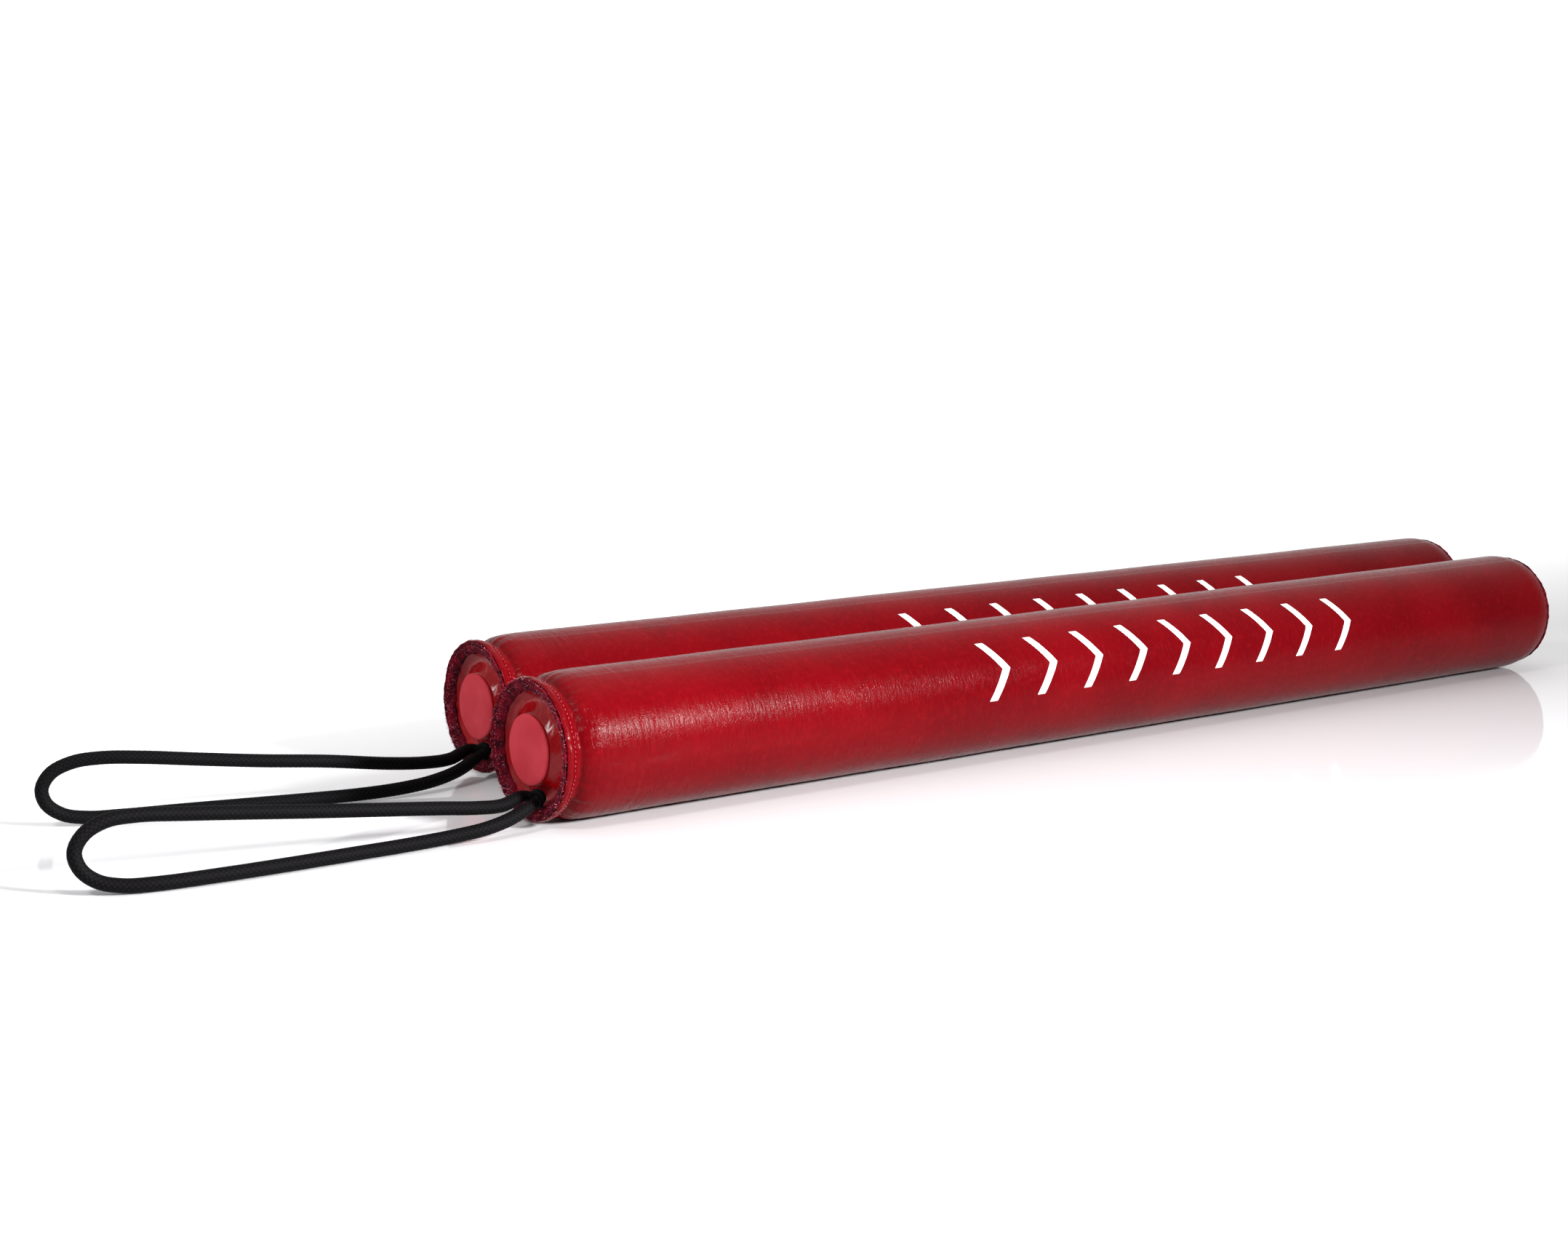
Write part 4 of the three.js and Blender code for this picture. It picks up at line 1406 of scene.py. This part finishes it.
@dataclass
class PrintedBand:
    """A plain white decoration printed along the cover: a row of chevrons that point to the far end."""

    cover: Cover
    start: float = 201.0 * MM
    end: float = 424.0 * MM
    middle_angle: float = math.radians(65.5)
    height: float = 25.5 * MM
    count: int = 9
    stroke: float = 4.2 * MM
    point: float = 9.0 * MM
    film: float = 0.07 * MM

    def build(self) -> bpy.types.Object:
        """Print the chevrons: along = left edge + point * (1 - |v|) + stroke * u, for v from -1 to 1.

        The angle is the middle less v times half the height. Each is a thin closed film whose upper side
        follows the cover.

        Returns:
            The printed band.
        """
        pitch = (self.end - self.start - self.point - self.stroke) / (self.count - 1)
        v = np.concatenate([[-1.0], np.linspace(-1.0, 1.0, 33), [1.0]])
        u = np.concatenate([np.linspace(0.0, 1.0, 9), np.linspace(1.0, 0.0, 9)])
        lift = np.concatenate([np.full(9, self.film), np.full(9, -0.6 * self.film)])
        inner_rows = np.ones(len(v))
        inner_rows[[0, -1]] = 0.0
        lift = lift[None, :] * inner_rows[:, None]
        left = self.start + pitch * np.arange(self.count)
        slant = self.point * (1.0 - np.abs(v))[None, :, None]
        along = left[:, None, None] + slant + self.stroke * u[None, None, :]
        half_angle = self.height / (2 * self.cover.place.radius)
        angle = self.middle_angle - v[None, :, None] * half_angle + 0.0 * along
        radius = self.cover.body_radius(along) + self.cover.folds(along, angle) + lift[None]
        points = self.cover.place.round_point(along, angle, radius).reshape(-1, 3)
        rows, columns = len(v), len(u)
        r, c = np.meshgrid(np.arange(rows - 1), np.arange(columns), indexing="ij")
        near, far, after = r * columns, (r + 1) * columns, (c + 1) % columns
        one = np.stack([near + c, near + after, far + after, far + c], -1).reshape(-1, 4)
        first_corners = (np.arange(self.count) * rows * columns)[:, None, None]
        faces = (one[None] + first_corners).reshape(-1, 4)
        band = outward_mesh(self.cover.place.name("printed_chevrons"), points, faces)
        return self.cover.place.dress(band, self.cover.wardrobe.ink, "red_leather")


@dataclass
class Stick:
    """One padded stick: its cover, both its ends, its print and its hidden core."""

    place: StickPlace
    wardrobe: Wardrobe

    def build(self) -> None:
        """Build the pieces from the wrist end to the far end and dress the core."""
        cover = Cover(self.place, self.wardrobe)
        cover.build()
        cover.build_lap_stitches()
        PrintedBand(cover).build()
        WristEnd(self.place, self.wardrobe).build()
        StrikingEnd(self.place, self.wardrobe).build()
        self.dress_core()

    def dress_core(self) -> None:
        """Give the hidden frame pieces their own finishes."""
        finishes = {
            "core_tube": self.wardrobe.plastic,
            "wrist_plug": self.wardrobe.plastic,
            "tip_plug": self.wardrobe.plastic,
            "foam_sleeve": self.wardrobe.foam,
            "wrist_pad": self.wardrobe.foam,
            "tip_pad": self.wardrobe.foam,
            "anchor_washer": self.wardrobe.steel,
            "anchor_stopper": self.wardrobe.plastic,
        }
        for piece, material in finishes.items():
            node = bpy.context.scene.objects[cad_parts[self.place.name(piece)].name]
            node.data.materials.clear()
            node.data.materials.append(material)


# -------------------------------------------------------------------------------------------------------
# Studio
# -------------------------------------------------------------------------------------------------------


@dataclass(frozen=True)
class GlossyFloor:
    """A white acrylic sheet with a painted glow behind the pair, and a faint mirror image of what stands on
    it.
    """

    colour: str = "#dddcde"
    roughness: float = 0.05
    ior: float = 1.25
    painted_glow_strength: float = 0.5
    dim_line: float = 0.02
    bright_line: float = 0.3
    radius: float = 9.0

    def build(self) -> bpy.types.Object:
        """Lay the floor as a disc of rings just under the sticks."""
        angles = np.linspace(0.0, TURN, 64, endpoint=False)
        rings = np.array([0.0, 0.5, 1.5, 4.0, self.radius])
        points = np.stack(
            [
                rings[:, None] * np.cos(angles)[None, :],
                rings[:, None] * np.sin(angles)[None, :],
                np.full((len(rings), len(angles)), -0.02 * MM),
            ],
            -1,
        )
        floor = grid_object("studio_floor", points)
        material, tree, shader = new_material("white_acrylic_painted_glow")
        solid = add_node(tree, "ShaderNodeTexCoord").outputs["Object"]
        haze = noise(tree, 3.0, 2.0, solid)
        rough = ranged(tree, haze.outputs["Fac"], 0.3, 0.7, self.roughness - 0.01, self.roughness + 0.01)
        tree.links.new(rough, shader.inputs["Roughness"])
        shader.inputs["Base Color"].default_value = linear(self.colour)
        shader.inputs["IOR"].default_value = self.ior
        shader.inputs["Emission Color"].default_value = linear("#ffffff")
        behind = add_node(tree, "ShaderNodeSeparateXYZ", links={0: solid}).outputs["Y"]
        # Painted glow: the floor gives off light of its own, none near the sticks and rising to full strength
        # behind the pair.
        glow = ranged(tree, behind, self.dim_line, self.bright_line, 0.0, self.painted_glow_strength)
        tree.links.new(glow, shader.inputs["Emission Strength"])
        floor.data.materials.append(material)
        return floor


@dataclass(frozen=True)
class Softbox:
    """A rectangular studio light: its place, target, size, radiance and the angle its grid lets through."""

    name: str
    place: tuple[float, float, float]
    target: tuple[float, float, float]
    size: tuple[float, float]
    radiance: float
    beam: float = 180.0

    def build(self) -> bpy.types.Object:
        """Hang the light. Its power is radiance times pi times its area."""
        data = bpy.data.lights.new(self.name, "AREA")
        data.shape = "RECTANGLE"
        data.size, data.size_y = self.size
        data.spread = math.radians(self.beam)
        data.energy = self.radiance * math.pi * self.size[0] * self.size[1]
        light = bpy.data.objects.new(self.name, data)
        bpy.context.scene.collection.objects.link(light)
        light.location = self.place
        aim = Vector(self.target) - Vector(self.place)
        light.rotation_mode = "QUATERNION"
        light.rotation_quaternion = aim.to_track_quat("-Z", "Y")
        return light


@dataclass(frozen=True)
class Studio:
    """White studio: a lit surround that is brightest behind the pair, and softboxes."""

    floor: GlossyFloor = field(default_factory=GlossyFloor)
    surround_back: float = 0.95
    surround_front: float = 0.2
    backdrop: float = 1.05
    lights: tuple[Softbox, ...] = (
        Softbox("key_softbox", (0.30, -1.40, 0.66), (-0.50, -0.04, 0.03), (0.24, 0.26), 52.0, beam=70.0),
        Softbox("wrist_softbox", (-1.17, -0.36, 0.94), (-0.3, -0.04, 0.03), (0.20, 0.20), 62.0),
        Softbox("overhead_softbox", (0.0, 0.2, 1.9), (0.0, 0.0, 0.0), (1.6, 1.6), 0.5),
    )

    def build(self) -> None:
        """Build the floor, the lights and the surround."""
        self.floor.build()
        for light in self.lights:
            light.build()
        self.light_surround()
        bpy.context.scene.view_settings.view_transform = "Standard"

    def light_surround(self) -> None:
        """Light the surround: seen directly it is plain white; as a light it eases from front to back."""
        world = bpy.data.worlds.new("studio_surround")
        bpy.context.scene.world = world
        world.use_nodes = True
        tree = world.node_tree
        tree.nodes.clear()
        direction = add_node(tree, "ShaderNodeTexCoord").outputs["Generated"]
        split = add_node(tree, "ShaderNodeSeparateXYZ", links={0: direction})
        ease = ranged(tree, split.outputs["Y"], -0.5, 0.6, self.surround_front, self.surround_back)
        seen = add_node(tree, "ShaderNodeLightPath").outputs["Is Camera Ray"]
        strength = add_node(
            tree, "ShaderNodeMix", {"data_type": "FLOAT"}, {3: self.backdrop}, {0: seen, 2: ease}
        )
        background = add_node(
            tree, "ShaderNodeBackground", values={"Color": linear("#ffffff")}, links={
                "Strength": strength.outputs[0]
            }
        )
        add_node(tree, "ShaderNodeOutputWorld", links={"Surface": background.outputs[0]})


def main() -> None:
    """Build the camera, the loops, the sticks and the studio, in that order."""
    logging.basicConfig(level=logging.INFO, format="%(message)s")
    places = {side: StickPlace.from_frame(side) for side in Side}
    StudioCamera().build(places[Side.FRONT])
    wardrobe = Wardrobe.make()
    for place in places.values():
        measures = (place.side.value, place.radius / MM, place.length / MM)
        LOG.info("%s stick: radius %.1f mm, length %.1f mm", *measures)
        WristLoop(place, wardrobe).build()
        Stick(place, wardrobe).build()
    Studio().build()


if __name__ == "__main__":
    main()
